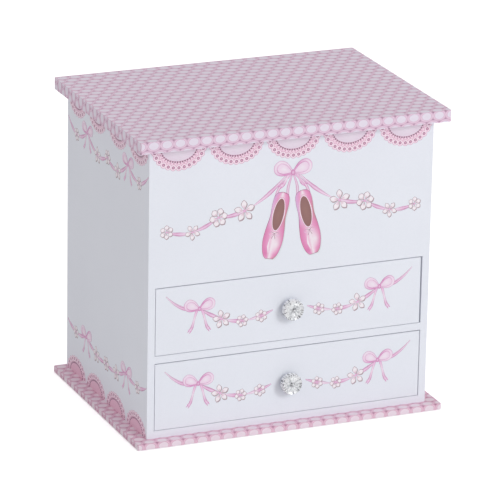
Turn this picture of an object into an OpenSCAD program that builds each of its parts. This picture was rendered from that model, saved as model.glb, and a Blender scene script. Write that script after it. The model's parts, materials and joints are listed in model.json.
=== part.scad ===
// Musical ballerina jewellery box: two drawers, a mirrored lid and a wind-up movement that turns a dancer.
// Millimetres. +Z is up, -Y is the front, and the origin is the centre of the case's footprint on the table.

/* [Case] */
// Width of the case between the outer faces of its sides
body_w = 200; // [180:1:230]
// Depth of the case from its front face to its back face
body_d = 148; // [140:1:170]
// Height of the case from the base board to the underside of the lid
body_h = 196.8; // [192:0.2:215]
// Thickness of the side, back, front, bottom and divider boards
board = 5; // [4:0.5:6]
// Thickness of the board under the top compartment
shelf_t = 4; // [3:0.5:5]
// Height of each drawer opening
bay_h = 46.7; // [40:0.1:47]

/* [Base and lid] */
// Thickness of the felt under the base board
felt_t = 0.6; // [0.4:0.1:1]
// Thickness of the base board
plinth_t = 4; // [3:0.5:6]
// Thickness of the lid board
lid_t = 7.8; // [7:0.2:10]
// How far the lid and base stand out at each side
over_side = 9; // [4:0.5:12]
// How far the lid and base stand out at the front
over_front = 7.5; // [4:0.5:10]
// How far the lid and base stand out at the back
over_back = 2; // [1.5:0.5:2.5]
// Gap between the case's rim and the closed lid
lid_gap = 0.3; // [0.2:0.1:0.6]
// Radius of the lid's and base's corners in plan
corner_r = 1.2; // [0.5:0.1:2]
// Width of the mirror in the lid
mirror_w = 132; // [100:2:150]
// Depth of the mirror in the lid
mirror_d = 92; // [70:2:104]

/* [Drawers] */
// Gap above each drawer front
front_gap_top = 0.6; // [0.3:0.1:1]
// Gap at the other edges of a drawer front
front_gap = 0.4; // [0.3:0.1:0.8]
// Extra gap at the right edge of the upper drawer front
upper_gap_extra = 0.8; // [0:0.1:1]
// Thickness of a drawer's sides, back and base
drawer_wall = 3; // [2:0.5:4]
// Height of a drawer's sides
drawer_side_h = 38; // [30:1:38]
// Length of a drawer from its front face to its back
drawer_len = 139; // [120:1:140]
// Diameter of the drawer knobs
knob_d = 14.6; // [12:0.2:18]
// Length of a knob from the drawer front to its tip
knob_len = 8.4; // [7.2:0.2:12]

/* [Hinges] */
// Distance of each hinge's middle from the centre of the box
hinge_x = 62; // [50:1:75]
// Length of each hinge
hinge_len = 18; // [15:1:24]
// Radius of the hinge knuckles
knuckle_r = 1.8; // [1.6:0.1:1.8]
// Radius of the hinge pins
pin_r = 0.75; // [0.6:0.05:0.8]
// Lid opening at which the hinges' heels meet their stops
open_angle = 98; // [95:1:100]

/* [Top compartment] */
// Thickness of the fabric-covered lining card
lining_t = 1; // [0.8:0.1:1.2]
// Height of the stage and of the ring shelf above the compartment floor
stage_h = 40; // [39:0.5:41]
// Half the width of the stage
stage_half_w = 36; // [36:0.5:38]
// Depth of the stage from the back panel
stage_d = 40; // [39:0.5:42]
// Depth of the ring shelf from the front panel
ring_shelf_d = 37; // [35:1:42]
// Number of ring rolls
ring_roll_n = 3; // [2:1:3]

/* [Movement] */
// Radius of the spring barrel
barrel_r = 10.5; // [9:0.5:10.5]
// Radius of the pinned cylinder
drum_r = 6.5; // [6:0.1:6.6]
// Number of teeth on the comb
note_n = 18; // [12:1:18]

/* [Hidden] */

// Tooth module of every gear, which sets the places of the shafts
gear_m = 0.8;
$fn = 48;

paper_white = [0.93, 0.94, 0.96];
print_pink = [0.88, 0.72, 0.82];
velvet_pink = [0.86, 0.55, 0.68];
brass_yellow = [0.83, 0.68, 0.34];
steel_grey = [0.75, 0.76, 0.78];

// Outer faces of the case
half_w = body_w / 2;
front_y = -body_d / 2;
back_y = body_d / 2;
case_z = felt_t + plinth_t;
rim_z = case_z + body_h;
lid_z = rim_z + lid_gap;
// Inner faces of the case
in_w = half_w - board;
in_front_y = front_y + board;
in_back_y = back_y - board;
lower_bay_z = case_z + board;
divider_z = lower_bay_z + bay_h;
upper_bay_z = divider_z + board;
shelf_z = upper_bay_z + bay_h;
floor_z = shelf_z + shelf_t;

// Top compartment
stage_z = floor_z + stage_h;
stage_front_y = in_back_y - stage_d;
stage_top_t = 2;
stage_wall_t = 1.2;
ring_back_y = in_front_y + ring_shelf_d;
ring_board_t = 2.5;

// Hinges
axis_y = back_y + over_back;
axis_z = rim_z + lid_gap / 2;
leaf_t = 1;
lid_leaf_w = 8;
knuckle_gap = 0.15;
mid_knuckle = hinge_len / 3;
heel_len = 4.5;
heel_t = 1;

// Lid
lid_panel_t = 1.6;
lid_panel_inset = 3;
lid_panel_z = lid_z - lid_panel_t;

// Movement: the cylinder lies along X, and the winding arbor runs along Y through the back panel
move_z = floor_z + 22;
plate_t = 3;
plate_front_y = in_back_y - plate_t;
main_teeth = 24;
drum_pinion_teeth = 12;
drum_wheel_teeth = 16;
spindle_teeth = 34;
governor_teeth = 8;
main_r = gear_m * main_teeth / 2;
drum_pinion_r = gear_m * drum_pinion_teeth / 2;
drum_wheel_r = gear_m * drum_wheel_teeth / 2;
spindle_wheel_r = gear_m * spindle_teeth / 2;
governor_pinion_r = gear_m * governor_teeth / 2;
arbor_x = -23;
arbor_r = 1.5;
barrel_len = 12;
barrel_front_y = plate_front_y - barrel_len;
main_disc_t = 1.5;
main_disc_y = barrel_front_y - 1 - main_disc_t;
tooth_h = 1.5;
main_pitch_y = main_disc_y - tooth_h / 2;
drum_y = main_pitch_y - drum_pinion_r;
drum_pinion_x = arbor_x + main_r;
drum_x0 = drum_pinion_x + 1.6;
note_pitch = 1.2;
drum_x1 = drum_x0 + note_pitch * note_n + 0.4;
drum_wheel_x = spindle_wheel_r;
face_w = 1.2;
axle_r = 0.8;
pin_h = 0.4;
bearing_t = 1.2;
left_bearing_x = drum_pinion_x - 3.4;
right_bearing_x = drum_wheel_x + 1.4;
platform_z = move_z - 20;
platform_top_z = move_z - 14;
governor_angle = -30;
governor_y = drum_y + (drum_wheel_r + governor_pinion_r) * cos(governor_angle);
governor_z = move_z + (drum_wheel_r + governor_pinion_r) * sin(governor_angle);
worm_wheel_r = 6;
worm_wheel_x = drum_wheel_x + 2.9;
worm_r = 1.4;
worm_y = governor_y + worm_wheel_r + worm_r + 0.3;
fan_r = 3.6;
fan_z0 = move_z + 7;
fan_z1 = move_z + 13;
fan_top_z = move_z + 14;
fan_bottom_z = move_z - 16;
spindle_disc_z = move_z + drum_wheel_r + tooth_h / 2;
spindle_disc_t = 1.5;
spindle_r = 1.1;
bracket_z = spindle_disc_z + spindle_disc_t + 1.2;
bracket_t = 1.5;
stop_x = 23.5;
stop_y = in_back_y - 5;
stop_r = 0.9;
key_hole_r = 4;

// Dancer
turntable_z = stage_z + stage_top_t + 0.6;
turntable_t = 1.6;
dancer_h = lid_panel_z - 2.4 - turntable_z;
waist_z = turntable_z + dancer_h * 0.52;

// ---------------------------------------------------------------- shared shapes

// Board with its corners rounded in plan, from the low corner to the high corner
module board_between(low, high, r = 0) {
    size = high - low;
    translate([low[0], low[1], low[2]])
        if (r == 0)
            cube(size);
        else
            linear_extrude(size[2])
                union() {
                    translate([r, 0]) square([size[0] - 2 * r, size[1]]);
                    translate([0, r]) square([size[0], size[1] - 2 * r]);
                    for (x = [r, size[0] - r], y = [r, size[1] - r])
                        translate([x, y]) circle(r);
                }
}

// Outline of a spur gear with straight-sided teeth, with the middle of a tooth on +X when turn is 0
module gear_outline(teeth, turn = 0) {
    pitch_r = gear_m * teeth / 2;
    tip_r = pitch_r + 0.75 * gear_m;
    root_r = pitch_r - 1.05 * gear_m;
    half_root = 0.62;
    half_tip = 0.24;
    union() {
        circle(root_r + 0.01);
        for (i = [0 : teeth - 1])
            rotate(turn + 360 * i / teeth)
                polygon([[root_r - 0.4, -half_root], [tip_r, -half_tip],
                         [tip_r, half_tip], [root_r - 0.4, half_root]]);
    }
}

// Crown wheel about Z: a disc with teeth that stand up from its rim, with a gap on +X
module crown_wheel(teeth, disc_t, bore_r) {
    pitch_r = gear_m * teeth / 2;
    half_root = 0.5;
    half_tip = 0.26;
    difference() {
        union() {
            cylinder(r = pitch_r + face_w / 2 + 0.3, h = disc_t);
            for (i = [0 : teeth - 1])
                rotate(360 * (i + 0.5) / teeth)
                    translate([pitch_r - face_w / 2, 0, disc_t])
                        rotate([90, 0, 90])
                            linear_extrude(face_w)
                                polygon([[-half_root, -0.2], [half_root, -0.2],
                                         [half_tip, tooth_h], [-half_tip, tooth_h]]);
        }
        translate([0, 0, -1]) cylinder(r = bore_r, h = disc_t + 2);
    }
}

// Countersunk wood screw along -Z with its head's flat face at the origin
module wood_screw(head_r, shank_r, length, grow = 0) {
    union() {
        cylinder(r = shank_r + grow, h = length);
        cylinder(r1 = head_r + grow, r2 = shank_r + grow, h = head_r - shank_r);
    }
}

// Round rod along X from one place to another
module rod_x(x0, x1, r) {
    translate([x0, 0, 0]) rotate([0, 90, 0]) cylinder(r = r, h = x1 - x0);
}

// ---------------------------------------------------------------- base and case

module plinth_board(z0, z1, inset, r) {
    board_between(
        [-half_w - over_side + inset, front_y - over_front + inset, z0],
        [half_w + over_side - inset, back_y + over_back - inset, z1], r);
}

module base_felt() {
    color("pink") plinth_board(0, felt_t, 3, corner_r);
}

module base_plinth() {
    color(print_pink) plinth_board(felt_t, case_z, 0, corner_r);
}

module bottom_board() {
    color(paper_white)
        board_between([-in_w, front_y, case_z], [in_w, in_back_y, lower_bay_z]);
}

module left_side() {
    color(paper_white)
        board_between([-half_w, front_y, case_z], [-in_w, back_y, rim_z]);
}

module right_side() {
    color(paper_white)
        board_between([in_w, front_y, case_z], [half_w, back_y, rim_z]);
}

module back_panel() {
    color(paper_white)
        difference() {
            board_between([-in_w, in_back_y, case_z], [in_w, back_y, rim_z]);
            translate([arbor_x, in_back_y - 1, move_z])
                rotate([-90, 0, 0]) cylinder(r = key_hole_r, h = board + 2);
            for (side = [-1, 1])
                translate([side * hinge_x - hinge_len / 2, in_back_y - 1, rim_z - leaf_t])
                    cube([hinge_len, board + 2, leaf_t + 1]);
            hinge_case_screw_bodies(0.03);
            movement_screw_bodies(0.03);
        }
}

module front_panel() {
    color(paper_white)
        board_between([-in_w, front_y, shelf_z], [in_w, in_front_y, rim_z]);
}

module drawer_divider() {
    color(paper_white)
        board_between([-in_w, front_y, divider_z], [in_w, in_back_y, upper_bay_z]);
}

module upper_shelf() {
    color(paper_white)
        board_between([-in_w, in_front_y, shelf_z], [in_w, in_back_y, floor_z]);
}

// ---------------------------------------------------------------- top compartment

// Fabric-covered cards on the floor and walls, with the stage's place left bare
module compartment_lining() {
    rim = rim_z - 1;
    floor_top = floor_z + lining_t;
    wall_low = floor_top + 0.1;
    gap = stage_half_w + 0.2;
    side_front_y = in_front_y + lining_t + 0.1;
    color(velvet_pink) {
        board_between([-in_w, in_front_y, floor_z], [in_w, stage_front_y - 0.2, floor_top]);
        board_between([-in_w, stage_front_y - 0.1, floor_z], [-gap, in_back_y, floor_top]);
        board_between([gap, stage_front_y - 0.1, floor_z], [in_w, in_back_y, floor_top]);
        board_between([-in_w, in_front_y, wall_low], [in_w, in_front_y + lining_t, rim]);
        board_between([-in_w, side_front_y, wall_low], [-in_w + lining_t, in_back_y, rim]);
        board_between([in_w - lining_t, side_front_y, wall_low], [in_w, in_back_y, rim]);
        board_between([-in_w + lining_t + 0.1, in_back_y - lining_t, wall_low], [-gap, in_back_y, rim]);
        board_between([gap, in_back_y - lining_t, wall_low], [in_w - lining_t - 0.1, in_back_y, rim]);
        board_between([-gap + 0.1, in_back_y - lining_t, stage_z + stage_top_t],
                      [gap - 0.1, in_back_y, rim]);
    }
}

module stage_walls() {
    wall_top = stage_z;
    color(velvet_pink) {
        board_between([-stage_half_w, stage_front_y, floor_z],
                      [stage_half_w, stage_front_y + stage_wall_t, wall_top]);
        for (x = [-stage_half_w, stage_half_w - stage_wall_t])
            board_between([x, stage_front_y + stage_wall_t, floor_z],
                          [x + stage_wall_t, in_back_y, wall_top]);
    }
}

module stage_top() {
    color(velvet_pink)
        difference() {
            board_between([-stage_half_w, stage_front_y, stage_z],
                          [stage_half_w, in_back_y, stage_z + stage_top_t]);
            translate([0, drum_y, stage_z - 1])
                cylinder(r = spindle_r + 0.5, h = stage_top_t + 2);
            translate([stop_x, stop_y, stage_z - 1])
                cylinder(r = stop_r + 0.3, h = stage_top_t + 2);
        }
}

module ring_shelf() {
    edge = in_w - lining_t - 0.1;
    color(velvet_pink) {
        board_between([-edge, in_front_y + lining_t, stage_z - ring_board_t], [edge, ring_back_y, stage_z]);
        board_between([-edge, ring_back_y - 2, floor_z + lining_t],
                      [edge, ring_back_y, stage_z - ring_board_t]);
    }
}

// Soft rolls side by side on the shelf, each with domed ends
module ring_rolls() {
    first_y = in_front_y + lining_t + 0.3;
    pitch = (ring_back_y - first_y - 0.3) / ring_roll_n;
    r = pitch / 2 - 0.15;
    reach = in_w - lining_t - 1 - r * 0.4;
    color(velvet_pink)
        for (i = [0 : ring_roll_n - 1])
            translate([0, first_y + pitch * (i + 0.5), stage_z + r])
                rotate([0, 90, 0])
                    rotate_extrude()
                        polygon([[0, -reach - r * 0.4], [r * 0.55, -reach - r * 0.3],
                                 [r * 0.9, -reach + r * 0.1], [r, -reach + r * 0.6],
                                 [r, reach - r * 0.6], [r * 0.9, reach - r * 0.1],
                                 [r * 0.55, reach + r * 0.3], [0, reach + r * 0.4]]);
}

// ---------------------------------------------------------------- lid

module lid_board() {
    color(print_pink)
        difference() {
            board_between([-half_w - over_side, front_y - over_front, lid_z],
                          [half_w + over_side, axis_y, lid_z + lid_t], corner_r);
            for (side = [-1, 1])
                translate([side * hinge_x, 0, 0]) {
                    translate([-hinge_len / 2, back_y - lid_leaf_w, lid_z - 1])
                        cube([hinge_len, lid_leaf_w + 5, leaf_t + 1]);
                    translate([-hinge_len / 2 - 0.3, axis_y, axis_z])
                        rotate([0, 90, 0]) cylinder(r = knuckle_r + 0.3, h = hinge_len + 0.6);
                }
            hinge_lid_screw_bodies(0.03);
        }
}

// Fabric-covered frame inside the lid, with a window for the mirror
module lid_lining() {
    edge_x = in_w - lining_t - lid_panel_inset;
    edge_y = in_back_y - lining_t - lid_panel_inset;
    color(velvet_pink)
        difference() {
            board_between([-edge_x, -edge_y, lid_panel_z], [edge_x, edge_y - 6, lid_z], 4);
            board_between([-mirror_w / 2 - 0.1, -mirror_d / 2 - 3.1, lid_panel_z - 1],
                          [mirror_w / 2 + 0.1, mirror_d / 2 - 2.9, lid_z + 1], 3);
        }
}

module mirror_glass() {
    color(steel_grey)
        board_between([-mirror_w / 2, -mirror_d / 2 - 3, lid_panel_z + 0.2],
                      [mirror_w / 2, mirror_d / 2 - 3, lid_z], 3);
}

// ---------------------------------------------------------------- hinges

// One knuckle of a hinge, with its bore
module knuckle(x0, x1, bore_r) {
    difference() {
        rod_x(x0, x1, knuckle_r);
        rod_x(x0 - 1, x1 + 1, bore_r);
    }
}

// Leaf let into the top of the back panel: two outer knuckles and an apron that takes the heel's push
module hinge_case_leaf(side) {
    end = hinge_len / 2;
    inner = mid_knuckle / 2 + knuckle_gap;
    color(brass_yellow)
        translate([side * hinge_x, 0, 0])
            difference() {
                union() {
                    board_between([-end, in_back_y, rim_z - leaf_t], [end, back_y + leaf_t, rim_z]);
                    board_between([-end, back_y, rim_z - 5.6], [end, back_y + leaf_t, rim_z]);
                    for (s = [-1, 1])
                        translate([s * (end + inner) / 2, axis_y, axis_z])
                            rod_x(-(end - inner) / 2, (end - inner) / 2, knuckle_r);
                }
                translate([0, axis_y, axis_z]) {
                    rod_x(-end - 1, end + 1, pin_r + 0.01);
                    rod_x(-inner, inner, knuckle_r + 0.2);
                }
                translate([-end - 1, back_y - 3, rim_z]) cube([hinge_len + 2, 3.1, 4]);
                translate([-side * hinge_x, 0, 0]) hinge_case_screw_bodies(0.03);
            }
}

// Leaf let into the underside of the lid: the middle knuckle and the heel behind it
module hinge_lid_leaf(side) {
    end = hinge_len / 2;
    half_mid = mid_knuckle / 2;
    color(brass_yellow)
        translate([side * hinge_x, 0, 0])
            difference() {
                union() {
                    board_between([-end + 0.1, back_y - lid_leaf_w + 0.1, lid_z],
                                  [end - 0.1, axis_y, lid_z + leaf_t]);
                    translate([0, axis_y, axis_z]) {
                        rod_x(-half_mid, half_mid, knuckle_r);
                        rotate([open_angle, 0, 0])
                            translate([-half_mid, -heel_t + 0.1, -heel_len])
                                cube([mid_knuckle, heel_t, heel_len]);
                    }
                }
                translate([0, axis_y, axis_z]) {
                    rod_x(-end - 1, end + 1, pin_r + 0.05);
                    for (s = [-1, 1])
                        translate([s * (end + half_mid + 0.5) / 2, 0, 0])
                            rod_x(-(end - half_mid + 0.5) / 2, (end - half_mid + 0.5) / 2, knuckle_r + 0.3);
                }
                translate([-side * hinge_x, 0, 0]) hinge_lid_screw_bodies(0.03);
            }
}

module hinge_pins() {
    color(brass_yellow)
        for (side = [-1, 1])
            translate([side * hinge_x, axis_y, axis_z])
                rod_x(-hinge_len / 2, hinge_len / 2, pin_r);
}

module hinge_case_screw_bodies(grow) {
    for (side = [-1, 1], dx = [-6, 6])
        translate([side * hinge_x + dx, back_y - board / 2, rim_z])
            rotate([180, 0, 0]) wood_screw(1.3, 0.7, 8, grow);
}

module hinge_lid_screw_bodies(grow) {
    for (side = [-1, 1], dx = [-6, 6])
        translate([side * hinge_x + dx, back_y - lid_leaf_w / 2 - 0.5, lid_z])
            wood_screw(1.3, 0.7, 6, grow);
}

module hinge_case_screws() {
    color(brass_yellow) hinge_case_screw_bodies(0);
}

module hinge_lid_screws() {
    color(brass_yellow) hinge_lid_screw_bodies(0);
}

// ---------------------------------------------------------------- drawers

function front_right_x(extra) = in_w - front_gap - extra;
function knob_z(bay_z) = bay_z + bay_h / 2 - 1;

module drawer_front(bay_z, extra) {
    color(paper_white)
        difference() {
            board_between([-in_w + front_gap, front_y, bay_z + front_gap],
                          [front_right_x(extra), in_front_y, bay_z + bay_h - front_gap_top]);
            translate([0, front_y - 1, knob_z(bay_z)])
                rotate([-90, 0, 0]) cylinder(r = 2.05, h = board + 2);
        }
}

module drawer_side(bay_z, side) {
    x0 = side < 0 ? -in_w + 1 : in_w - 1.4 - drawer_wall;
    color(paper_white)
        board_between([x0, in_front_y, bay_z + front_gap],
                      [x0 + drawer_wall, front_y + drawer_len, bay_z + front_gap + drawer_side_h]);
}

module drawer_back(bay_z) {
    color(paper_white)
        board_between([-in_w + 1 + drawer_wall, front_y + drawer_len - drawer_wall, bay_z + front_gap],
                      [in_w - 1.4 - drawer_wall, front_y + drawer_len, bay_z + front_gap + drawer_side_h]);
}

module drawer_base(bay_z) {
    color(paper_white)
        board_between([-in_w + 1 + drawer_wall, in_front_y, bay_z + front_gap],
                      [in_w - 1.4 - drawer_wall, front_y + drawer_len - drawer_wall,
                       bay_z + front_gap + drawer_wall]);
}

module drawer_lining(bay_z) {
    color(velvet_pink)
        board_between([-in_w + 1.2 + drawer_wall, in_front_y + 0.2, bay_z + front_gap + drawer_wall],
                      [in_w - 1.6 - drawer_wall, front_y + drawer_len - drawer_wall - 0.2,
                       bay_z + front_gap + drawer_wall + lining_t]);
}

// Thickness of the silvered cup under each knob
cup_t = 2.6;

// Clear faceted knob seated on its silvered cup
module knob(bay_z) {
    r = knob_d / 2;
    color([0.9, 0.92, 0.95])
        translate([0, front_y, knob_z(bay_z)])
            rotate([90, 0, 0])
                rotate_extrude()
                    polygon([[0, cup_t], [r * 0.95, cup_t], [r, cup_t + 0.5], [r, knob_len - 2.1],
                             [r * 0.93, knob_len - 1.4], [r * 0.8, knob_len - 1], [r * 0.6, knob_len - 1.4],
                             [r * 0.3, knob_len - 1], [r * 0.2, knob_len - 0.1], [0, knob_len]]);
}

// Silvered cup and foot of a knob
module knob_base(bay_z) {
    r = knob_d / 2;
    color(steel_grey)
        translate([0, front_y, knob_z(bay_z)])
            rotate([90, 0, 0])
                difference() {
                    rotate_extrude()
                        polygon([[0, 0], [r * 0.66, 0], [r * 0.66, 0.8], [r * 0.92, 1.5],
                                 [r * 0.92, cup_t], [0, cup_t]]);
                    translate([0, 0, -1]) cylinder(r = 1.53, h = 3.25);
                }
}

// Screw through the drawer front from inside, with its washer head
module knob_screw(bay_z) {
    color(steel_grey)
        translate([0, in_front_y, knob_z(bay_z)])
            rotate([90, 0, 0]) {
                translate([0, 0, -1.6]) cylinder(r = 3.6, h = 1.6);
                cylinder(r = 1.5, h = board + 2.1);
            }
}

// ---------------------------------------------------------------- music movement

module movement_screw_bodies(grow) {
    for (p = [[-22, -16.5], [20, -15], [5, 12]])
        translate([p[0], back_y, move_z + p[1]])
            rotate([90, 0, 0]) wood_screw(2.4, 1.2, board + plate_t - 0.5, grow);
}

module comb_screw_bodies(grow) {
    for (x = [drum_x0 + 3.5, drum_x1 - 3.5])
        translate([x, drum_y - 1.2, platform_z + 3])
            rotate([-90, 0, 0]) {
                translate([0, 0, -1.2]) cylinder(r = 1.7 + grow, h = 1.2 + grow);
                cylinder(r = 0.9 + grow, h = 6);
            }
}

module movement_screws() {
    color(steel_grey) {
        movement_screw_bodies(0);
        comb_screw_bodies(0);
    }
}

// Cast plate against the back panel, with the platform that carries the comb and the cylinder's posts
module movement_bedplate() {
    plate_x0 = -34;
    plate_x1 = 27;
    color(brass_yellow)
        difference() {
            union() {
                board_between([plate_x0, plate_front_y, platform_z], [plate_x1, in_back_y, fan_top_z + 1.4]);
                board_between([drum_x0 - 2, drum_y + 5, platform_z], [9, plate_front_y, platform_top_z]);
                board_between([left_bearing_x - 0.5, drum_y, platform_z],
                              [right_bearing_x + bearing_t + 0.5, drum_y + 5, platform_top_z]);
            }
            translate([arbor_x, plate_front_y - 1, move_z])
                rotate([-90, 0, 0]) cylinder(r = arbor_r + 0.05, h = plate_t + 2);
            movement_screw_bodies(0.03);
            comb_screw_bodies(0.03);
        }
}

module spring_barrel() {
    color(brass_yellow)
        translate([arbor_x, barrel_front_y, move_z])
            rotate([-90, 0, 0])
                difference() {
                    cylinder(r = barrel_r, h = barrel_len);
                    translate([0, 0, 0.8]) cylinder(r = barrel_r - 0.7, h = barrel_len);
                    translate([0, 0, -1]) cylinder(r = arbor_r + 0.1, h = 3);
                }
}

// Spiral spring in the barrel, made of half turns whose ends meet, with its outer end against the wall
module mainspring() {
    strip_t = 0.36;
    turns = 4;
    inner_r = 3;
    turn_pitch = (barrel_r - 0.7 - strip_t / 2 - inner_r) / turns;
    color(steel_grey)
        translate([arbor_x, barrel_front_y + 1.8, move_z])
            rotate([-90, 0, 0])
                linear_extrude(barrel_len - 3.4)
                    union() {
                        for (i = [0 : turns - 1]) {
                            half_turn(inner_r + i * turn_pitch, 0, 1, strip_t);
                            half_turn(inner_r + (i + 0.5) * turn_pitch, turn_pitch / 2, -1, strip_t);
                        }
                    }
}

module half_turn(r, shift, side, strip_t) {
    translate([shift, 0])
        difference() {
            circle(r + strip_t / 2);
            circle(r - strip_t / 2);
            translate([-r - 1, side > 0 ? -r - 1 : 0]) square([2 * r + 2, r + 1]);
        }
}

// Shaft from the spring barrel through the back panel to the key
module winding_arbor() {
    color(steel_grey)
        translate([arbor_x, main_disc_y - 1.2, move_z])
            rotate([-90, 0, 0]) {
                cylinder(r = arbor_r, h = back_y + 9 - main_disc_y + 1.2);
                translate([0, 0, barrel_front_y + 2 - main_disc_y + 1.2])
                    cylinder(r = 2.2, h = barrel_len - 3);
            }
}

module main_wheel() {
    color(brass_yellow)
        translate([arbor_x, main_disc_y + main_disc_t, move_z])
            rotate([90, 0, 0]) crown_wheel(main_teeth, main_disc_t, arbor_r + 0.02);
}

// Butterfly key outside the back panel
module winding_key() {
    hub_y = back_y + 2.5;
    hub_len = 7;
    color(steel_grey)
        translate([arbor_x, hub_y, move_z])
            difference() {
                union() {
                    rotate([-90, 0, 0]) cylinder(r = 3, h = hub_len);
                    for (s = [-1, 1])
                        translate([s * 5.6, hub_len + 3.6, 0])
                            rotate([0, 0, s * 14])
                                translate([0, 0, -0.8])
                                    difference() {
                                        cylinder(r = 6, h = 1.6);
                                        translate([s * 0.8, 0.5, -1]) cylinder(r = 2.2, h = 4);
                                    }
                    translate([-2.6, hub_len - 1.5, -0.8]) cube([5.2, 7, 1.6]);
                }
                translate([0, -1, 0]) rotate([-90, 0, 0]) cylinder(r = arbor_r + 0.02, h = 7.6);
            }
}

function pin_angle(note, k) = (note * 83 + k * 127 + note * note * 11) % 360;

// Pinned cylinder with its pinion, wheel and axle
module music_cylinder() {
    color(brass_yellow)
        translate([0, drum_y, move_z])
            union() {
                rod_x(left_bearing_x - 0.3, right_bearing_x + bearing_t + 0.3, axle_r);
                rod_x(drum_x0, drum_x1, drum_r);
                translate([drum_pinion_x - face_w / 2, 0, 0])
                    rotate([90, 0, 90]) linear_extrude(face_w) gear_outline(drum_pinion_teeth, 0);
                translate([drum_wheel_x - face_w / 2, 0, 0])
                    rotate([90, 0, 90]) linear_extrude(face_w) gear_outline(drum_wheel_teeth, 90);
                for (note = [0 : note_n - 1], k = [0 : 2])
                    translate([drum_x0 + 0.7 + note_pitch * note, 0, 0])
                        rotate([pin_angle(note, k), 0, 0])
                            translate([0, 0, drum_r - 0.5]) cylinder(r = 0.2, h = 0.5 + pin_h, $fn = 16);
            }
}

// Posts that carry the cylinder's axle
module cylinder_bearings() {
    color(brass_yellow)
        for (x = [left_bearing_x, right_bearing_x])
            difference() {
                board_between([x, drum_y - 1.7, platform_top_z],
                              [x + bearing_t, drum_y + 1.7, move_z + 2.4]);
                translate([0, drum_y, move_z]) rod_x(x - 1, x + bearing_t + 1, axle_r + 0.05);
            }
}

// Steel comb: a clamped bar and one tooth for each note, the bass teeth longest
module music_comb() {
    tip_z = move_z - drum_r - pin_h - 0.15;
    bar_z = platform_top_z;
    tooth_w = 0.9;
    color(steel_grey)
        difference() {
            translate([0, drum_y, 0])
                rotate([90, 0, 0])
                    linear_extrude(1.2)
                        union() {
                            polygon([[drum_x0 - 0.2, platform_z], [drum_x1 + 0.2, platform_z],
                                     [drum_x1 + 0.2, bar_z + 2.4], [drum_x0 - 0.2, bar_z - 1]]);
                            for (note = [0 : note_n - 1])
                                translate([drum_x0 + 0.7 + note_pitch * note - tooth_w / 2, bar_z - 2])
                                    square([tooth_w, tip_z - bar_z + 2]);
                        }
            comb_screw_bodies(0.03);
        }
}

// Pinion and worm wheel of the speed governor, on one arbor
module governor_wheel() {
    gap_angle = governor_angle + 180;
    near_tooth = 90 - 360 / drum_wheel_teeth * round((90 - governor_angle) / (360 / drum_wheel_teeth));
    slip = (near_tooth - governor_angle) * drum_wheel_r / governor_pinion_r;
    color(brass_yellow)
        translate([0, governor_y, governor_z])
            union() {
                rod_x(drum_wheel_x - 3, worm_wheel_x + 2.8, 0.6);
                translate([drum_wheel_x - face_w / 2, 0, 0])
                    rotate([90, 0, 90])
                        linear_extrude(face_w)
                            gear_outline(governor_teeth, gap_angle - slip + 180 / governor_teeth);
                translate([worm_wheel_x - 0.5, 0, 0])
                    rotate([90, 0, 90])
                        linear_extrude(1)
                            union() {
                                circle(worm_wheel_r - 0.5);
                                for (i = [0 : 29])
                                    rotate(i * 12) translate([worm_wheel_r - 1, -0.25]) square([1, 0.5]);
                            }
            }
}

// Worm shaft with the two-bladed air brake
module governor_fan() {
    color(steel_grey)
        translate([worm_wheel_x, worm_y, 0])
            union() {
                translate([0, 0, fan_bottom_z + 0.5]) cylinder(r = 0.5, h = fan_top_z - fan_bottom_z - 0.2);
                translate([0, 0, governor_z - 4]) cylinder(r = worm_r - 0.1, h = 8);
                translate([-fan_r, -0.3, fan_z0]) cube([2 * fan_r, 0.6, fan_z1 - fan_z0]);
            }
}

// Arms that carry the fan shaft, and cheeks that carry the wheel's arbor
module governor_frame() {
    arm_t = 1.4;
    fan_low_x = worm_wheel_x - 2.5;
    cheek_x = [drum_wheel_x - 2.8, worm_wheel_x + 1.5];
    color(steel_grey)
        difference() {
            union() {
                board_between([fan_low_x, worm_y - 2.5, fan_top_z],
                              [stop_x + 2.2, plate_front_y, fan_top_z + arm_t]);
                board_between([fan_low_x, worm_y - 2.5, fan_bottom_z - arm_t],
                              [fan_low_x + 5, plate_front_y, fan_bottom_z]);
                for (x = cheek_x)
                    board_between([x, governor_y - 1.1, governor_z - 2],
                                  [x + 1, plate_front_y, governor_z + 2]);
            }
            translate([worm_wheel_x, worm_y, fan_bottom_z - 2]) cylinder(r = 0.55, h = 60);
            translate([stop_x, stop_y, fan_top_z - 1]) cylinder(r = stop_r + 0.1, h = 4);
            translate([0, governor_y, governor_z]) rod_x(cheek_x[0] - 1, cheek_x[1] + 3, 0.65);
        }
}

// Vertical spindle with the crown wheel that the cylinder drives
module ballerina_spindle() {
    color(steel_grey)
        translate([0, drum_y, 0]) {
            translate([0, 0, spindle_disc_z + spindle_disc_t])
                rotate([180, 0, 0]) crown_wheel(spindle_teeth, spindle_disc_t, spindle_r);
            translate([0, 0, spindle_disc_z])
                cylinder(r = spindle_r, h = turntable_z + 1.1 - spindle_disc_z);
        }
}

module spindle_bracket() {
    color(steel_grey)
        difference() {
            union() {
                board_between([-4, drum_y - 4, bracket_z], [4, plate_front_y, bracket_z + bracket_t]);
                board_between([-4, plate_front_y - 1.5, bracket_z - 6], [4, plate_front_y, bracket_z]);
            }
            translate([0, drum_y, bracket_z - 1]) cylinder(r = spindle_r + 0.05, h = bracket_t + 2);
        }
}

// Rod that the closed lid holds down, so that its foot stops the fan
module stop_pin() {
    color(steel_grey)
        translate([stop_x, stop_y, 0])
            union() {
                translate([0, 0, fan_z0 + 1]) cylinder(r = stop_r, h = lid_z - 0.3 - fan_z0 - 1);
                translate([worm_wheel_x + fan_r + 0.4 - stop_x, -0.6, fan_z0 + 1])
                    cube([stop_x - worm_wheel_x - fan_r - 0.4, 1.2, 1.2]);
            }
}

// ---------------------------------------------------------------- dancer

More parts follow.
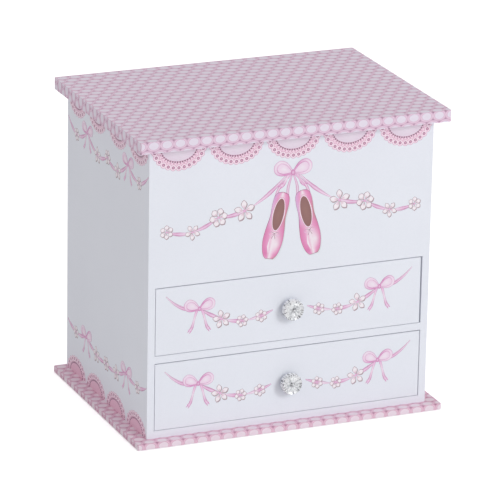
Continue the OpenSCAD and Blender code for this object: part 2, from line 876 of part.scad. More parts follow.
// Tapered limb between two points
module limb(a, b, r0, r1) {
    d = b - a;
    len = norm(d);
    translate(a)
        rotate([0, acos(d[2] / len), atan2(d[1], d[0])])
            cylinder(r1 = r0, r2 = r1, h = len, $fn = 24);
}

// Round joint or end of a limb
module joint_ball(p, r) {
    translate(p) sphere(r, $fn = 24);
}

// Moulded dancer on her turntable: on one toe, the other foot at her knee, and her arms raised in a ring
module ballerina() {
    h = dancer_h;
    z0 = turntable_z;
    knee = [5.2, -2.6, z0 + h * 0.33];
    toe = [0.9, -1.4, z0 + h * 0.24];
    shoulder_z = z0 + h * 0.70;
    head_z = z0 + h * 0.83;
    elbow_x = 5.2;
    elbow_z = head_z + 1.2;
    hand = [1.5, -1.4, z0 + h - 1];
    color([0.96, 0.82, 0.74])
        translate([0, drum_y, 0])
            union() {
                difference() {
                    rotate_extrude()
                        polygon([[0, z0], [7, z0], [7, z0 + turntable_t], [0.75, z0 + turntable_t],
                                 [1.0, z0 + h * 0.12], [1.45, z0 + h * 0.2], [1.15, z0 + h * 0.27],
                                 [1.7, waist_z - 6], [2.3, waist_z - 3.4], [2.2, waist_z - 1],
                                 [2.2, waist_z + 0.2], [1.75, waist_z + 1.4], [2.3, waist_z + 4],
                                 [2.4, shoulder_z], [0.8, shoulder_z + 1.4],
                                 [0.75, head_z], [0, head_z]]);
                    translate([0, 0, z0 - 1]) cylinder(r = spindle_r + 0.02, h = 2.2);
                }
                limb([0.5, 0, waist_z - 4.2], knee, 1.6, 1.1);
                limb(knee, toe, 1.1, 0.6);
                joint_ball(knee, 1.2);
                joint_ball(toe, 0.7);
                joint_ball([0, 0, head_z], 2.35);
                joint_ball([0, 1.4, head_z + 2.1], 1.2);
                for (s = [-1, 1]) {
                    limb([s * 1.7, 0, shoulder_z - 0.6], [s * elbow_x, -0.6, elbow_z], 0.8, 0.6);
                    limb([s * elbow_x, -0.6, elbow_z], [s * hand[0], hand[1], hand[2]], 0.6, 0.45);
                    joint_ball([s * elbow_x, -0.6, elbow_z], 0.66);
                    joint_ball([s * hand[0], hand[1], hand[2]], 0.6);
                }
            }
}

// Stiff net skirt, a shallow cone about the dancer's waist
module tutu() {
    color([0.97, 0.75, 0.85])
        translate([0, drum_y, waist_z])
            rotate_extrude()
                polygon([[2.2, 0.1], [6, 0.1], [11.5, -1.8], [12, -2.9],
                         [10.5, -2.7], [6, -1.4], [2.2, -0.9]]);
}

base_felt();
base_plinth();
bottom_board();
left_side();
right_side();
back_panel();
front_panel();
drawer_divider();
upper_shelf();
compartment_lining();
stage_walls();
stage_top();
ring_shelf();
ring_rolls();
lid_board();
lid_lining();
mirror_glass();
hinge_case_leaf(-1);  // left_hinge_case_leaf
hinge_lid_leaf(-1);  // left_hinge_lid_leaf
hinge_case_leaf(1);  // right_hinge_case_leaf
hinge_lid_leaf(1);  // right_hinge_lid_leaf
hinge_pins();
hinge_case_screws();
hinge_lid_screws();
drawer_front(upper_bay_z, upper_gap_extra);  // upper_drawer_front
drawer_side(upper_bay_z, -1);  // upper_drawer_left
drawer_side(upper_bay_z, 1);  // upper_drawer_right
drawer_back(upper_bay_z);  // upper_drawer_back
drawer_base(upper_bay_z);  // upper_drawer_base
drawer_lining(upper_bay_z);  // upper_drawer_lining
knob(upper_bay_z);  // upper_knob
knob_base(upper_bay_z);  // upper_knob_base
knob_screw(upper_bay_z);  // upper_knob_screw
drawer_front(lower_bay_z, 0.2);  // lower_drawer_front
drawer_side(lower_bay_z, -1);  // lower_drawer_left
drawer_side(lower_bay_z, 1);  // lower_drawer_right
drawer_back(lower_bay_z);  // lower_drawer_back
drawer_base(lower_bay_z);  // lower_drawer_base
drawer_lining(lower_bay_z);  // lower_drawer_lining
knob(lower_bay_z);  // lower_knob
knob_base(lower_bay_z);  // lower_knob_base
knob_screw(lower_bay_z);  // lower_knob_screw
movement_bedplate();
movement_screws();
spring_barrel();
mainspring();
winding_arbor();
main_wheel();
winding_key();
music_cylinder();
cylinder_bearings();
music_comb();
governor_wheel();
governor_fan();
governor_frame();
ballerina_spindle();
spindle_bracket();
ballerina();
tutu();
stop_pin();
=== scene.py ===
import json
import math
import random

import bmesh
import bpy
from mathutils import Matrix, Vector


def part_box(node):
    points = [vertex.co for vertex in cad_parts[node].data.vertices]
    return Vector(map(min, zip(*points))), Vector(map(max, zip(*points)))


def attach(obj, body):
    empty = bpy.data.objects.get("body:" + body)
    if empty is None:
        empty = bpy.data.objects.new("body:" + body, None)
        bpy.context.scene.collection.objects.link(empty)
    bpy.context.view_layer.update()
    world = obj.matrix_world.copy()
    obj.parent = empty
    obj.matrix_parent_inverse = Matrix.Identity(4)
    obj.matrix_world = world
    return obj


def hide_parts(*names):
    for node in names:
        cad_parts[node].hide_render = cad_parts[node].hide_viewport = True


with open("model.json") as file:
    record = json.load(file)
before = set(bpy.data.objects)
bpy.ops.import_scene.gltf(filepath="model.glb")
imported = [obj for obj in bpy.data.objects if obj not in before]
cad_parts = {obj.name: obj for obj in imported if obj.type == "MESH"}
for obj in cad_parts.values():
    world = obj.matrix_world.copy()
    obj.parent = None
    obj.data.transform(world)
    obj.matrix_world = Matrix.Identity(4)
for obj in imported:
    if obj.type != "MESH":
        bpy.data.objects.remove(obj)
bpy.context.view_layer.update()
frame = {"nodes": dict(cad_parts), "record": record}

MM = 0.001
random.seed(7)


def low(node):
    return Vector(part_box(node)[0])


def high(node):
    return Vector(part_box(node)[1])


def srgb(r, g, b):
    """Linear colour from the 0 to 255 values a screen shows."""
    def one(v):
        v /= 255
        return v / 12.92 if v <= 0.04045 else ((v + 0.055) / 1.055) ** 2.4
    return (one(r), one(g), one(b), 1.0)


# ---------------------------------------------------------------- materials


class Mat:
    """A material whose nodes are made by short calls. Values may be sockets or numbers."""

    def __init__(self, name, roughness=0.5, metallic=0.0, **more):
        self.mat = bpy.data.materials.new(name)
        self.mat.use_nodes = True
        self.tree = self.mat.node_tree
        self.tree.nodes.clear()
        out = self.tree.nodes.new("ShaderNodeOutputMaterial")
        self.bsdf = self.tree.nodes.new("ShaderNodeBsdfPrincipled")
        self.tree.links.new(self.bsdf.outputs[0], out.inputs[0])
        self.coord = self.tree.nodes.new("ShaderNodeTexCoord")
        self.bsdf.inputs["Roughness"].default_value = roughness
        self.bsdf.inputs["Metallic"].default_value = metallic
        for key, value in more.items():
            self.bsdf.inputs[key.replace("_", " ")].default_value = value

    def put(self, socket, value):
        if isinstance(value, bpy.types.NodeSocket):
            self.tree.links.new(value, socket)
        else:
            socket.default_value = value

    def set(self, name, value):
        self.put(self.bsdf.inputs[name], value)

    def math(self, op, a, b=0.0, c=0.0):
        node = self.tree.nodes.new("ShaderNodeMath")
        node.operation = op
        for socket, value in zip(node.inputs, (a, b, c)):
            self.put(socket, value)
        return node.outputs[0]

    def choose(self, factor, a, b):
        node = self.tree.nodes.new("ShaderNodeMix")
        for i, value in ((0, factor), (2, a), (3, b)):
            self.put(node.inputs[i], value)
        return node.outputs[0]

    def mix(self, factor, a, b, blend="MIX"):
        node = self.tree.nodes.new("ShaderNodeMix")
        node.data_type = "RGBA"
        node.blend_type = blend
        for i, value in ((0, factor), (6, a), (7, b)):
            self.put(node.inputs[i], value)
        return node.outputs[2]

    def fade(self, value, start, end, first=0.0, last=1.0):
        node = self.tree.nodes.new("ShaderNodeMapRange")
        node.interpolation_type = "SMOOTHSTEP"
        for i, v in enumerate((value, start, end, first, last)):
            self.put(node.inputs[i], v)
        return node.outputs[0]

    def noise(self, scale, detail=3.0, rough=0.55, stretch=None):
        vector = self.coord.outputs["Object"]
        if stretch:
            mapping = self.tree.nodes.new("ShaderNodeMapping")
            mapping.inputs["Scale"].default_value = stretch
            self.tree.links.new(vector, mapping.inputs["Vector"])
            vector = mapping.outputs[0]
        node = self.tree.nodes.new("ShaderNodeTexNoise")
        self.put(node.inputs["Vector"], vector)
        node.inputs["Scale"].default_value = scale
        node.inputs["Detail"].default_value = detail
        node.inputs["Roughness"].default_value = rough
        return node.outputs["Fac"]

    def bump(self, height, distance, strength=1.0):
        node = self.tree.nodes.new("ShaderNodeBump")
        node.inputs["Distance"].default_value = distance
        node.inputs["Strength"].default_value = strength
        self.put(node.inputs["Height"], height)
        self.tree.links.new(node.outputs[0], self.bsdf.inputs["Normal"])

    def xyz_mm(self, output="Object"):
        node = self.tree.nodes.new("ShaderNodeSeparateXYZ")
        self.tree.links.new(self.coord.outputs[output], node.inputs[0])
        if output != "Object":
            return node.outputs
        return [self.math("MULTIPLY", s, 1000.0) for s in node.outputs]


def paper_finish(m, colour):
    """Coated paper over board: faint mottling, fibres and a satin print varnish."""
    mottled = m.mix(m.fade(m.noise(18, 4), 0.3, 0.7), colour, m.mix(0.045, colour, srgb(196, 200, 214)))
    fibres = m.noise(900, 2, 0.6)
    share = m.math("MULTIPLY", m.fade(fibres, 0.35, 0.75), 0.03)
    m.set("Base Color", m.mix(share, mottled, srgb(170, 174, 190)))
    m.set("Roughness", m.fade(m.noise(60, 3), 0.2, 0.8, 0.50, 0.64))
    m.bump(m.math("ADD", m.math("MULTIPLY", fibres, 0.5), m.noise(120, 2)), 0.00003, 0.5)
    return m.mat


def white_paper():
    return paper_finish(Mat("white_paper", 0.56, Coat_Weight=0.04), srgb(*PAPER))


def dotted_paper(name, top_z, palette):
    """Printed paper: staggered pale dots ringed in pink, with a darker mark where three dots' cells meet."""
    m = Mat(name, 0.56, Coat_Weight=0.04)
    x, y, z = m.xyz_mm()
    nx, ny, nz = m.xyz_mm("Normal")
    flat = m.math("GREATER_THAN", m.math("ABSOLUTE", nz), 0.5)
    side = m.math("GREATER_THAN", m.math("ABSOLUTE", nx), 0.5)
    depth = m.math("SUBTRACT", z, top_z / MM - 2.7)
    u = m.choose(side, x, depth)
    v = m.choose(flat, m.choose(side, depth, y), y)

    def centre_distance(shift_u, shift_v):
        du = m.math("WRAP", m.math("ADD", u, shift_u), DOT_PITCH / 2, -DOT_PITCH / 2)
        du = m.math("MULTIPLY", du, DOT_STRETCH)
        dv = m.math("WRAP", m.math("ADD", v, shift_v), ROW_PITCH, -ROW_PITCH)
        return m.math("SQRT", m.math("ADD", m.math("MULTIPLY", du, du), m.math("MULTIPLY", dv, dv)))

    d = m.math("MINIMUM", centre_distance(0, 0), centre_distance(DOT_PITCH / 2, ROW_PITCH))
    d = m.math("ADD", d, m.math("MULTIPLY", m.math("SUBTRACT", m.noise(500, 2), 0.5), 0.4))
    pale, rim, ring, ground, mark = (srgb(*c) for c in palette)
    colour = m.mix(m.fade(d, 2.35, 2.65), pale, rim)
    colour = m.mix(m.fade(d, 2.75, 2.95), colour, ring)
    colour = m.mix(m.fade(d, 3.1, 3.45), colour, ground)
    colour = m.mix(m.fade(d, 3.65, 4.05), colour, mark)
    edge = m.math("SUBTRACT", 1.0, m.math("MAXIMUM", m.math("ABSOLUTE", nz), m.math("ABSOLUTE", ny)))
    return paper_finish(m, m.mix(m.math("MULTIPLY", edge, 0.02), colour, srgb(255, 240, 248)))


def ink():
    """Printed artwork: the mesh's own colours with a fine printed grain."""
    m = Mat("printed_ink", 0.38, Coat_Weight=0.12)
    tint = m.tree.nodes.new("ShaderNodeVertexColor")
    tint.layer_name = "tint"
    streak = m.noise(420, 3, 0.6, (1, 1, 2.4))
    deeper = m.mix(1.0, tint.outputs[0], srgb(246, 226, 238), "MULTIPLY")
    m.set("Base Color", m.mix(m.fade(streak, 0.35, 0.8, 0.0, 0.22), tint.outputs[0], deeper))
    m.bump(streak, 0.00002, 0.4)
    return m.mat


def velvet(name, colour, deep):
    m = Mat(name, 0.85, Sheen_Weight=0.6, Sheen_Roughness=0.35)
    m.bsdf.inputs["Sheen Tint"].default_value = srgb(255, 225, 238)
    brushed = m.noise(55, 5, 0.65, (1, 1, 0.5))
    pile = m.noise(1600, 2, 0.7)
    colour = m.mix(m.fade(brushed, 0.3, 0.7, 0.0, 0.55), srgb(*colour), srgb(*deep))
    m.set("Base Color", m.mix(m.fade(pile, 0.3, 0.75, 0.0, 0.35), colour, srgb(*deep)))
    m.bump(m.math("ADD", pile, m.math("MULTIPLY", brushed, 0.5)), 0.00012, 0.8)
    return m.mat


def metal(name, colour, rough, worn, lines=(1, 1, 1)):
    m = Mat(name, rough, 1.0)
    brushed = m.noise(900, 3, 0.6, lines)
    cloud = m.noise(70, 4)
    m.set("Base Color", m.mix(m.fade(cloud, 0.35, 0.75, 0.0, 0.5), srgb(*colour), srgb(*worn)))
    wear = m.math("ADD", m.math("MULTIPLY", brushed, 0.6), m.math("MULTIPLY", cloud, 0.4))
    m.set("Roughness", m.fade(wear, 0.25, 0.8, rough * 0.7, min(1.0, rough * 1.5)))
    m.bump(brushed, 0.00002, 0.5)
    return m.mat


def felt():
    m = Mat("felt", 0.95, Sheen_Weight=0.3)
    fuzz = m.noise(1200, 4, 0.7)
    m.set("Base Color", m.mix(m.fade(fuzz, 0.3, 0.7), srgb(226, 178, 202), srgb(205, 150, 180)))
    m.bump(fuzz, 0.0002)
    return m.mat


def crystal():
    """Clear cut plastic with a silvered back: each facet shows its own share of light or dark, a painted
    reflection carried in the mesh's colours.
    """
    m = Mat("cut_crystal_painted_reflections", 0.14, 0.25, IOR=1.5, Coat_Weight=0.25, Coat_Roughness=0.2)
    tint = m.tree.nodes.new("ShaderNodeVertexColor")
    tint.layer_name = "tint"
    veil = m.noise(800, 3, 0.6)
    m.set("Base Color", m.mix(m.fade(veil, 0.4, 0.8, 0.0, 0.25), tint.outputs[0], srgb(236, 240, 246)))
    m.set("Roughness", m.fade(veil, 0.3, 0.8, 0.24, 0.36))
    return m.mat


def mirror():
    m = Mat("silvered_glass", 0.02, 1.0, Coat_Weight=0.5)
    haze = m.noise(35, 4, 0.6)
    m.set("Base Color", m.mix(m.fade(haze, 0.4, 0.8, 0.0, 0.3), srgb(236, 240, 242), srgb(222, 230, 232)))
    m.set("Roughness", m.fade(haze, 0.45, 0.85, 0.01, 0.06))
    return m.mat


def painted():
    """The dancer's paint, coloured by region on the mesh."""
    m = Mat("painted_figure", 0.42, Subsurface_Weight=0.08)
    m.bsdf.inputs["Subsurface Radius"].default_value = (0.002, 0.001, 0.0006)
    tint = m.tree.nodes.new("ShaderNodeVertexColor")
    tint.layer_name = "tint"
    brush = m.noise(700, 3, 0.6)
    deeper = m.mix(1.0, tint.outputs[0], srgb(232, 214, 214), "MULTIPLY")
    m.set("Base Color", m.mix(m.fade(brush, 0.35, 0.75, 0.0, 0.18), tint.outputs[0], deeper))
    m.set("Roughness", m.fade(brush, 0.3, 0.8, 0.34, 0.5))
    m.bump(brush, 0.00003, 0.5)
    return m.mat


def tulle():
    m = Mat("tulle_net", 0.7, Sheen_Weight=0.5, Alpha=0.82)
    net = m.noise(6000, 1, 0.5)
    m.set("Base Color", m.mix(m.fade(net, 0.4, 0.6), srgb(252, 226, 238), srgb(240, 190, 214)))
    m.bump(net, 0.00002, 0.5)
    return m.mat


PAPER = (241, 243, 251)
PAPER_SHADE = srgb(232, 234, 240)
LID_DOTS = (240, 229, 243), (224, 184, 210), (243, 216, 234), (222, 185, 209), (176, 128, 160)
BASE_DOTS = (245, 226, 237), (224, 176, 199), (243, 206, 223), (223, 173, 198), (184, 124, 152)
DOT_PITCH, ROW_PITCH, DOT_STRETCH = 9.1, 6.55, 0.75

PAPER_MAT = white_paper()
INK = ink()
LINING = velvet("lining_velvet", (232, 160, 190), (206, 122, 158))
ROLL_VELVET = velvet("roll_velvet", (236, 168, 196), (210, 128, 164))
BRASS = metal("satin_brass", (214, 178, 104), 0.3, (176, 140, 78))
PLATE_BRASS = metal("machined_brass", (206, 172, 108), 0.26, (180, 146, 90), (1, 1, 12))
STEEL = metal("machined_steel", (186, 188, 194), 0.28, (150, 152, 158), (1, 1, 9))
COMB_STEEL = metal("ground_steel", (166, 170, 178), 0.2, (120, 124, 132), (14, 1, 1))
ZINC = metal("zinc_plate", (196, 198, 204), 0.34, (160, 162, 170))
CHROME = metal("knob_chrome", (226, 228, 234), 0.1, (190, 192, 200))
CRYSTAL_PAINTED_REFLECTIONS = crystal()
TULLE = tulle()
PAINT = painted()

LOOKS = {
    "pink_paper": None,
    "felt": felt(),
    "white_paper": PAPER_MAT,
    "drawer_paper": PAPER_MAT,
    "drawer_wood": PAPER_MAT,
    "pink_velvet": LINING,
    "velvet_rolls": ROLL_VELVET,
    "mirror": mirror(),
    "hinge_brass": BRASS,
    "clear_plastic": CRYSTAL_PAINTED_REFLECTIONS,
    "knob_silver": CHROME,
    "screw_steel": ZINC,
    "movement_brass": PLATE_BRASS,
    "movement_steel": STEEL,
    "comb_steel": COMB_STEEL,
    "dancer_plastic": PAINT,
    "tulle": TULLE,
}
# Width of the rounded edges on each slot's nodes, in millimetres
BEVELS = {
    "white_paper": 0.35, "drawer_paper": 0.3, "drawer_wood": 0.25, "pink_paper": 0.5, "pink_velvet": 0.3,
    "felt": 0.1, "mirror": 0.25, "movement_brass": 0.12, "hinge_brass": 0.1, "movement_steel": 0.1,
}
SLOTS = {p["node"]: p["material_slot"] for p in frame["record"]["subparts"]}
TWO_TONE = {"lid_board": dotted_paper("dotted_lid_paper", high("lid_board").z, LID_DOTS),
            "base_plinth": dotted_paper("dotted_base_paper", high("base_plinth").z, BASE_DOTS)}

for node, obj in frame["nodes"].items():
    look = TWO_TONE.get(node) or LOOKS[SLOTS[node]]
    for s in obj.material_slots:
        s.material = look
    width = BEVELS.get(SLOTS[node])
    if width:
        bevel = obj.modifiers.new("soft_edges", "BEVEL")
        bevel.width = width * MM
        bevel.segments = 2
        bevel.limit_method = "ANGLE"
        bevel.angle_limit = math.radians(50)
        bevel.use_clamp_overlap = True


# ---------------------------------------------------------------- mesh building


def add_object(name, mesh, material, body, smooth=False):
    obj = bpy.data.objects.new(name, mesh)
    bpy.context.scene.collection.objects.link(obj)
    mesh.materials.append(material)
    mesh.polygons.foreach_set("use_smooth", [smooth] * len(mesh.polygons))
    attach(obj, body)
    return obj


def spline(points, steps=7):
    """Smooth curve through the points, as a list of 2D or 3D points."""
    pts = [Vector(p) for p in points]
    pts = [pts[0] * 2 - pts[1]] + pts + [pts[-1] * 2 - pts[-2]]
    out = []
    for i in range(1, len(pts) - 2):
        a, b, c, d = pts[i - 1:i + 3]
        for k in range(steps):
            t = k / steps
            out.append(0.5 * ((2 * b) + (c - a) * t + (2 * a - 5 * b + 4 * c - d) * t * t
                              + (3 * b - a - 3 * c + d) * t ** 3))
    out.append(pts[-2])
    return out


def along(values, t):
    """Value at t, from 0 to 1, along a list."""
    x = t * (len(values) - 1)
    i = min(int(x), len(values) - 2)
    f = x - i
    a, b = values[i], values[i + 1]
    if isinstance(a, (int, float)):
        return a + (b - a) * f
    return tuple(p + (q - p) * f for p, q in zip(a, b))


BELOW = -0.02  # height of the underside of each printed shape, sunk into the board


class Print:
    """Thin raised artwork on one face, in millimetres. Each shape is a closed sheet."""

    def __init__(self, origin, across, up):
        self.origin = Vector(origin)
        self.across = Vector(across)
        self.up = Vector(up)
        self.normal = self.across.cross(self.up)
        self.verts, self.faces, self.tints = [], [], []

    def at(self, p, height):
        return self.origin + (self.across * p[0] + self.up * p[1] + self.normal * height) * MM

    def face(self, corners, colours):
        self.faces.append(corners)
        self.tints.append(colours)

    def shape(self, outline, height, edge, middle=None, centre=None):
        """Filled outline that is star-shaped about its centre, shaded from its middle to its edge."""
        n = len(outline)
        if centre is None:
            centre = (sum(p[0] for p in outline) / n, sum(p[1] for p in outline) / n)
        edges = edge if isinstance(edge, list) else [edge] * n
        middle = middle or edges[0]
        base = len(self.verts)
        self.verts += [self.at(p, height) for p in outline]
        self.verts += [self.at(p, BELOW) for p in outline]
        self.verts += [self.at(centre, height), self.at(centre, BELOW)]
        area = sum(p[0] * q[1] - q[0] * p[1] for p, q in zip(outline, outline[1:] + outline[:1]))
        for i in range(n):
            j = (i + 1) % n
            if area < 0:
                i, j = j, i
            self.face((base + i, base + j, base + 2 * n), (edges[i], edges[j], middle))
            self.face((base + n + j, base + n + i, base + 2 * n + 1), (edges[j], edges[i], middle))
            wall = (base + i, base + n + i, base + n + j, base + j)
            self.face(wall, (edges[i], edges[i], edges[j], edges[j]))

    def disc(self, centre, r, height, edge, middle=None, n=16, squash=1.0):
        turns = [2 * math.pi * i / n for i in range(n)]
        ring = [(centre[0] + r * math.cos(t), centre[1] + r * squash * math.sin(t)) for t in turns]
        self.shape(ring, height, edge, middle, centre)

    def panel(self, one, other, rows, height, across=8, steps=6):
        """Sheet between two smooth edges. Each row of colours runs from one edge to the other."""
        a, b = spline(one, steps), spline(other, steps)
        n = max(len(a), len(b))

        def tone(t, s):
            x = t * (len(rows) - 1)
            i = min(int(x), len(rows) - 2)
            return tuple(u + (v - u) * (x - i) for u, v in zip(along(rows[i], s), along(rows[i + 1], s)))

        base = len(self.verts)
        for h in (height, BELOW):
            for i in range(n + 1):
                p, q = along(a, i / n), along(b, i / n)
                for j in range(across + 1):
                    self.verts.append(self.at([u + (v - u) * j / across for u, v in zip(p, q)], h))
        row, sheet = across + 1, (n + 1) * (across + 1)

        def quad(i, j, k, l, top):
            self.face(tuple(base + top + u * row + v for u, v in ((i, j), (i, l), (k, l), (k, j))),
                      tuple(tone(u / n, v / across) for u, v in ((i, j), (i, l), (k, l), (k, j))))

        for i in range(n):
            for j in range(across):
                quad(i, j, i + 1, j + 1, 0)
                quad(i + 1, j, i, j + 1, sheet)
        rim = [(i, 0) for i in range(n)] + [(n, j) for j in range(across)]
        rim += [(i, across) for i in range(n, 0, -1)] + [(0, j) for j in range(across, 0, -1)]
        for (i, j), (k, l) in zip(rim, rim[1:] + rim[:1]):
            p, q = base + i * row + j, base + k * row + l
            self.face((p, q, q + sheet, p + sheet), (tone(i / n, j / across), tone(k / n, l / across)) * 2)

    def ribbon(self, points, widths, height, edges, middles=None, steps=7, line=True):
        """Strip along a smooth curve, with a thin line at its edges. Widths and colours run along it."""
        if line:
            outer = [w + 0.2 for w in widths]
            self.ribbon(points, outer, height - 0.012, [RIBBON_LINE, WIRE, RIBBON_LINE], None, steps, None)
        path = spline([tuple(p)[:2] for p in points], steps)
        n = len(path)
        middles = middles or edges
        base = len(self.verts)
        for i, p in enumerate(path):
            d = (path[min(i + 1, n - 1)] - path[max(i - 1, 0)]).normalized()
            side = Vector((-d.y, d.x)) * along(widths, i / (n - 1)) / 2
            top = [(p + side, height), (p, height), (p - side, height)]
            for q, h in top + [(p - side, BELOW), (p + side, BELOW)]:
                self.verts.append(self.at(q, h))

        def tint(i, k):
            t = i / (n - 1)
            return along(middles, t) if k == 1 else along(edges, t)

        for i in range(n - 1):
            for k in range(5):
                l = (k + 1) % 5
                self.face((base + 5 * i + k, base + 5 * i + l, base + 5 * i + 5 + l, base + 5 * i + 5 + k),
                          (tint(i, k), tint(i, l), tint(i + 1, l), tint(i + 1, k)))
        for i in (0, n - 1):
            ring = [base + 5 * i + k for k in range(5)]
            self.face(tuple(ring if i else ring[::-1]), tuple(tint(i, k) for k in range(5)))

    def finish(self, name, body):
        mesh = bpy.data.meshes.new(name)
        mesh.from_pydata(self.verts, [], self.faces)
        layer = mesh.color_attributes.new("tint", "FLOAT_COLOR", "CORNER")
        flat = []
        for colours in self.tints:
            for c in colours:
                flat += [*c[:3], 1.0]
        layer.data.foreach_set("color", flat)
        bm = bmesh.new()
        bm.from_mesh(mesh)
        bmesh.ops.recalc_face_normals(bm, faces=bm.faces)
        bm.to_mesh(mesh)
        bm.free()
        return add_object(name, mesh, INK, body)


RIBBON_PALE = srgb(251, 240, 250)
RIBBON_LIGHT = srgb(246, 214, 238)
RIBBON_MID = srgb(236, 168, 216)
RIBBON_DEEP = srgb(214, 124, 184)
RIBBON_LINE = srgb(180, 128, 164)
WIRE = srgb(206, 176, 198)
PETAL = srgb(255, 251, 254)
PETAL_EDGE = srgb(252, 241, 248)
PETAL_BLUSH = srgb(248, 218, 234)
PETAL_LINE = srgb(156, 126, 136)
PETAL_SHADE = srgb(184, 164, 170)
SATIN_WHITE = srgb(252, 238, 246)
SATIN_PINK = srgb(240, 164, 206)
SATIN_ROSE = srgb(230, 132, 184)
SATIN_LILAC = srgb(226, 178, 224)
TAN = srgb(202, 146, 136)
SOFT_SHADOW = srgb(206, 206, 216)
LINING_BROWN = srgb(150, 108, 106)
SEAM = srgb(170, 118, 138)
LACE = srgb(255, 232, 244)
LACE_NET = srgb(252, 222, 237)
LACE_LINE = srgb(218, 160, 190)
LACE_EYE = srgb(178, 128, 156)
LACE_EYE_MIDDLE = srgb(228, 176, 202)
BEAD = srgb(142, 96, 124)
INSET = srgb(238, 222, 236)
INSET_PALE = srgb(240, 232, 241)
INSET_PINK = srgb(240, 196, 216)


def scallop(cx, edge, a, b, down, t):
    """Point at angle t, from 0 to pi, on a half ellipse that hangs down or stands up from an edge."""
    return (cx - a * math.cos(t), edge - down * b * math.sin(t))


def even_angles(a, b, count, end):
    """Angles that space points evenly along a half ellipse, starting and ending near its tips."""
    fine = [math.radians(end + (180 - 2 * end) * i / 240) for i in range(241)]
    run = [0.0]
    for s, t in zip(fine, fine[1:]):
        run.append(run[-1] + math.hypot(a * (math.cos(t) - math.cos(s)), b * (math.sin(t) - math.sin(s))))
    out, k = [], 0
    for i in range(count):
        want = run[-1] * i / (count - 1)
        while k < 239 and run[k + 1] < want:
            k += 1
        out.append(fine[k])
    return out


def lace(p, cx, edge, half, drop, down, inset, inset_drop, satin=None):
    """One lace scallop: a row of eyelet rings, a net, a line of beads and a satin half-disc."""
    sweep = [math.radians(180 * i / 30) for i in range(31)]

    def half_disc(a, b, height, rim, middle):
        ring = [scallop(cx, edge, a, b, down, t) for t in sweep]
        p.shape(ring, height, rim, middle, (cx, edge - down * b * 0.3))

    half_disc(half - 2.6, drop - 2.6, 0.020, LACE_LINE, LACE_LINE)
    half_disc(half - 2.9, drop - 2.9, 0.032, LACE_NET, LACE_NET)
    a, b = half - 2.05, drop - 2.05
    count = max(7, round(math.pi * math.sqrt((a * a + b * b) / 2) / 3.95) + 1)
    spots = even_angles(a, b, count, 7)
    for i, t in enumerate(spots):
        c, lift = scallop(cx, edge, a, b, down, t), 0.006 * (i % 2)
        p.disc(c, 2.2, 0.040 + lift, LACE_LINE, LACE_LINE, 16)
        p.disc(c, 1.95, 0.054 + lift, LACE, LACE, 16)
        p.disc(c, 1.05, 0.068 + lift, LACE_EYE, LACE_EYE, 12)
        p.disc(c, 0.55, 0.080 + lift, LACE_EYE_MIDDLE, LACE_EYE_MIDDLE, 8)
    inner_a, inner_b = (a - 2.6 + inset + 1.2) / 2, (b - 2.4 + inset_drop + 1.2) / 2
    for t in even_angles(inner_a, inner_b, count + 3, 8):
        p.disc(scallop(cx, edge, inner_a, inner_b, down, t), 0.5, 0.066, LACE_LINE, LACE_EYE_MIDDLE, 8)
    half_disc(inset + 0.35, inset_drop + 0.35, 0.072, LACE_LINE, LACE_LINE)
    half_disc(inset, inset_drop, 0.084, satin or INSET, satin or INSET_PALE)
    a, b = inset + 0.5, inset_drop + 0.6
    for t in even_angles(a, b, round((a + b) * 0.92), 3):
        p.disc(scallop(cx, edge, a, b, down, t), 0.58, 0.098, BEAD, BEAD, 8)


def petal_outline(width, blunt, steps=8):
    """Petal outline as distances from the flower's middle and angles either side of the petal's axis."""
    side = [(i / steps, width * math.sin(math.pi * (i / steps) ** blunt)) for i in range(1, steps)]
    return [(0.06, 0.0)] + [(t, -w) for t, w in side] + [(1.0, 0.0)] + side[::-1]


def flower(p, c, r, count, turn, width, blunt):
    """Equal petals about a point. Each has a drop of shade, a dark outline and a pale blushing face."""
    outline = petal_outline(width, blunt)
    grown = [(t * (1.04 if t > 0.5 else 1.0), w * 1.12) for t, w in outline]
    for i in range(count):
        turned = turn + math.tau * i / count

        def at(t, w, dx=0.0, dy=0.0):
            return (c[0] + r * (t * math.cos(turned + w) + dx), c[1] + r * (t * math.sin(turned + w) + dy))

        fallen = [at(t, w, 0.06, -0.08) for t, w in grown]
        p.shape(fallen, 0.035, PETAL_SHADE, PETAL_SHADE, at(0.6, 0, 0.06, -0.08))
        p.shape([at(t, w) for t, w in grown], 0.050, PETAL_LINE, PETAL_LINE, at(0.6, 0))
        edge = [PETAL_BLUSH if t < 0.5 else PETAL_EDGE for t, w in outline]
        p.shape([at(t, w) for t, w in outline], 0.066, edge, PETAL, at(0.66, 0))
        vein = [at(0.1, 0), at(0.3, 0.03), at(0.55, 0)]
        p.ribbon(vein, [0.1, 0.2, 0.06], 0.082, [PETAL_LINE, PETAL_SHADE], steps=3, line=None)
    p.disc(c, r * 0.13, 0.095, RIBBON_MID, RIBBON_LIGHT, 10)


def round_flower(p, c, r, turn=0.0):
    flower(p, c, r, 6, turn, 0.44, 1.9)


def star_flower(p, c, r, turn=0.0):
    flower(p, c, r, 5, turn, 0.42, 1.15)


def loop_path(knot, reach, width, turn, count=8):
    """Ribbon loop that starts and ends at its knot and points along the angle turn."""
    c, s = math.cos(turn), math.sin(turn)
    out = []
    for i in range(count):
        t = math.tau * i / count
        u, v = reach * (1 - math.cos(t)) / 2, width * math.sin(t) * math.sin(t / 2)
        out.append((knot[0] + u * c - v * s, knot[1] + u * s + v * c))
    return out


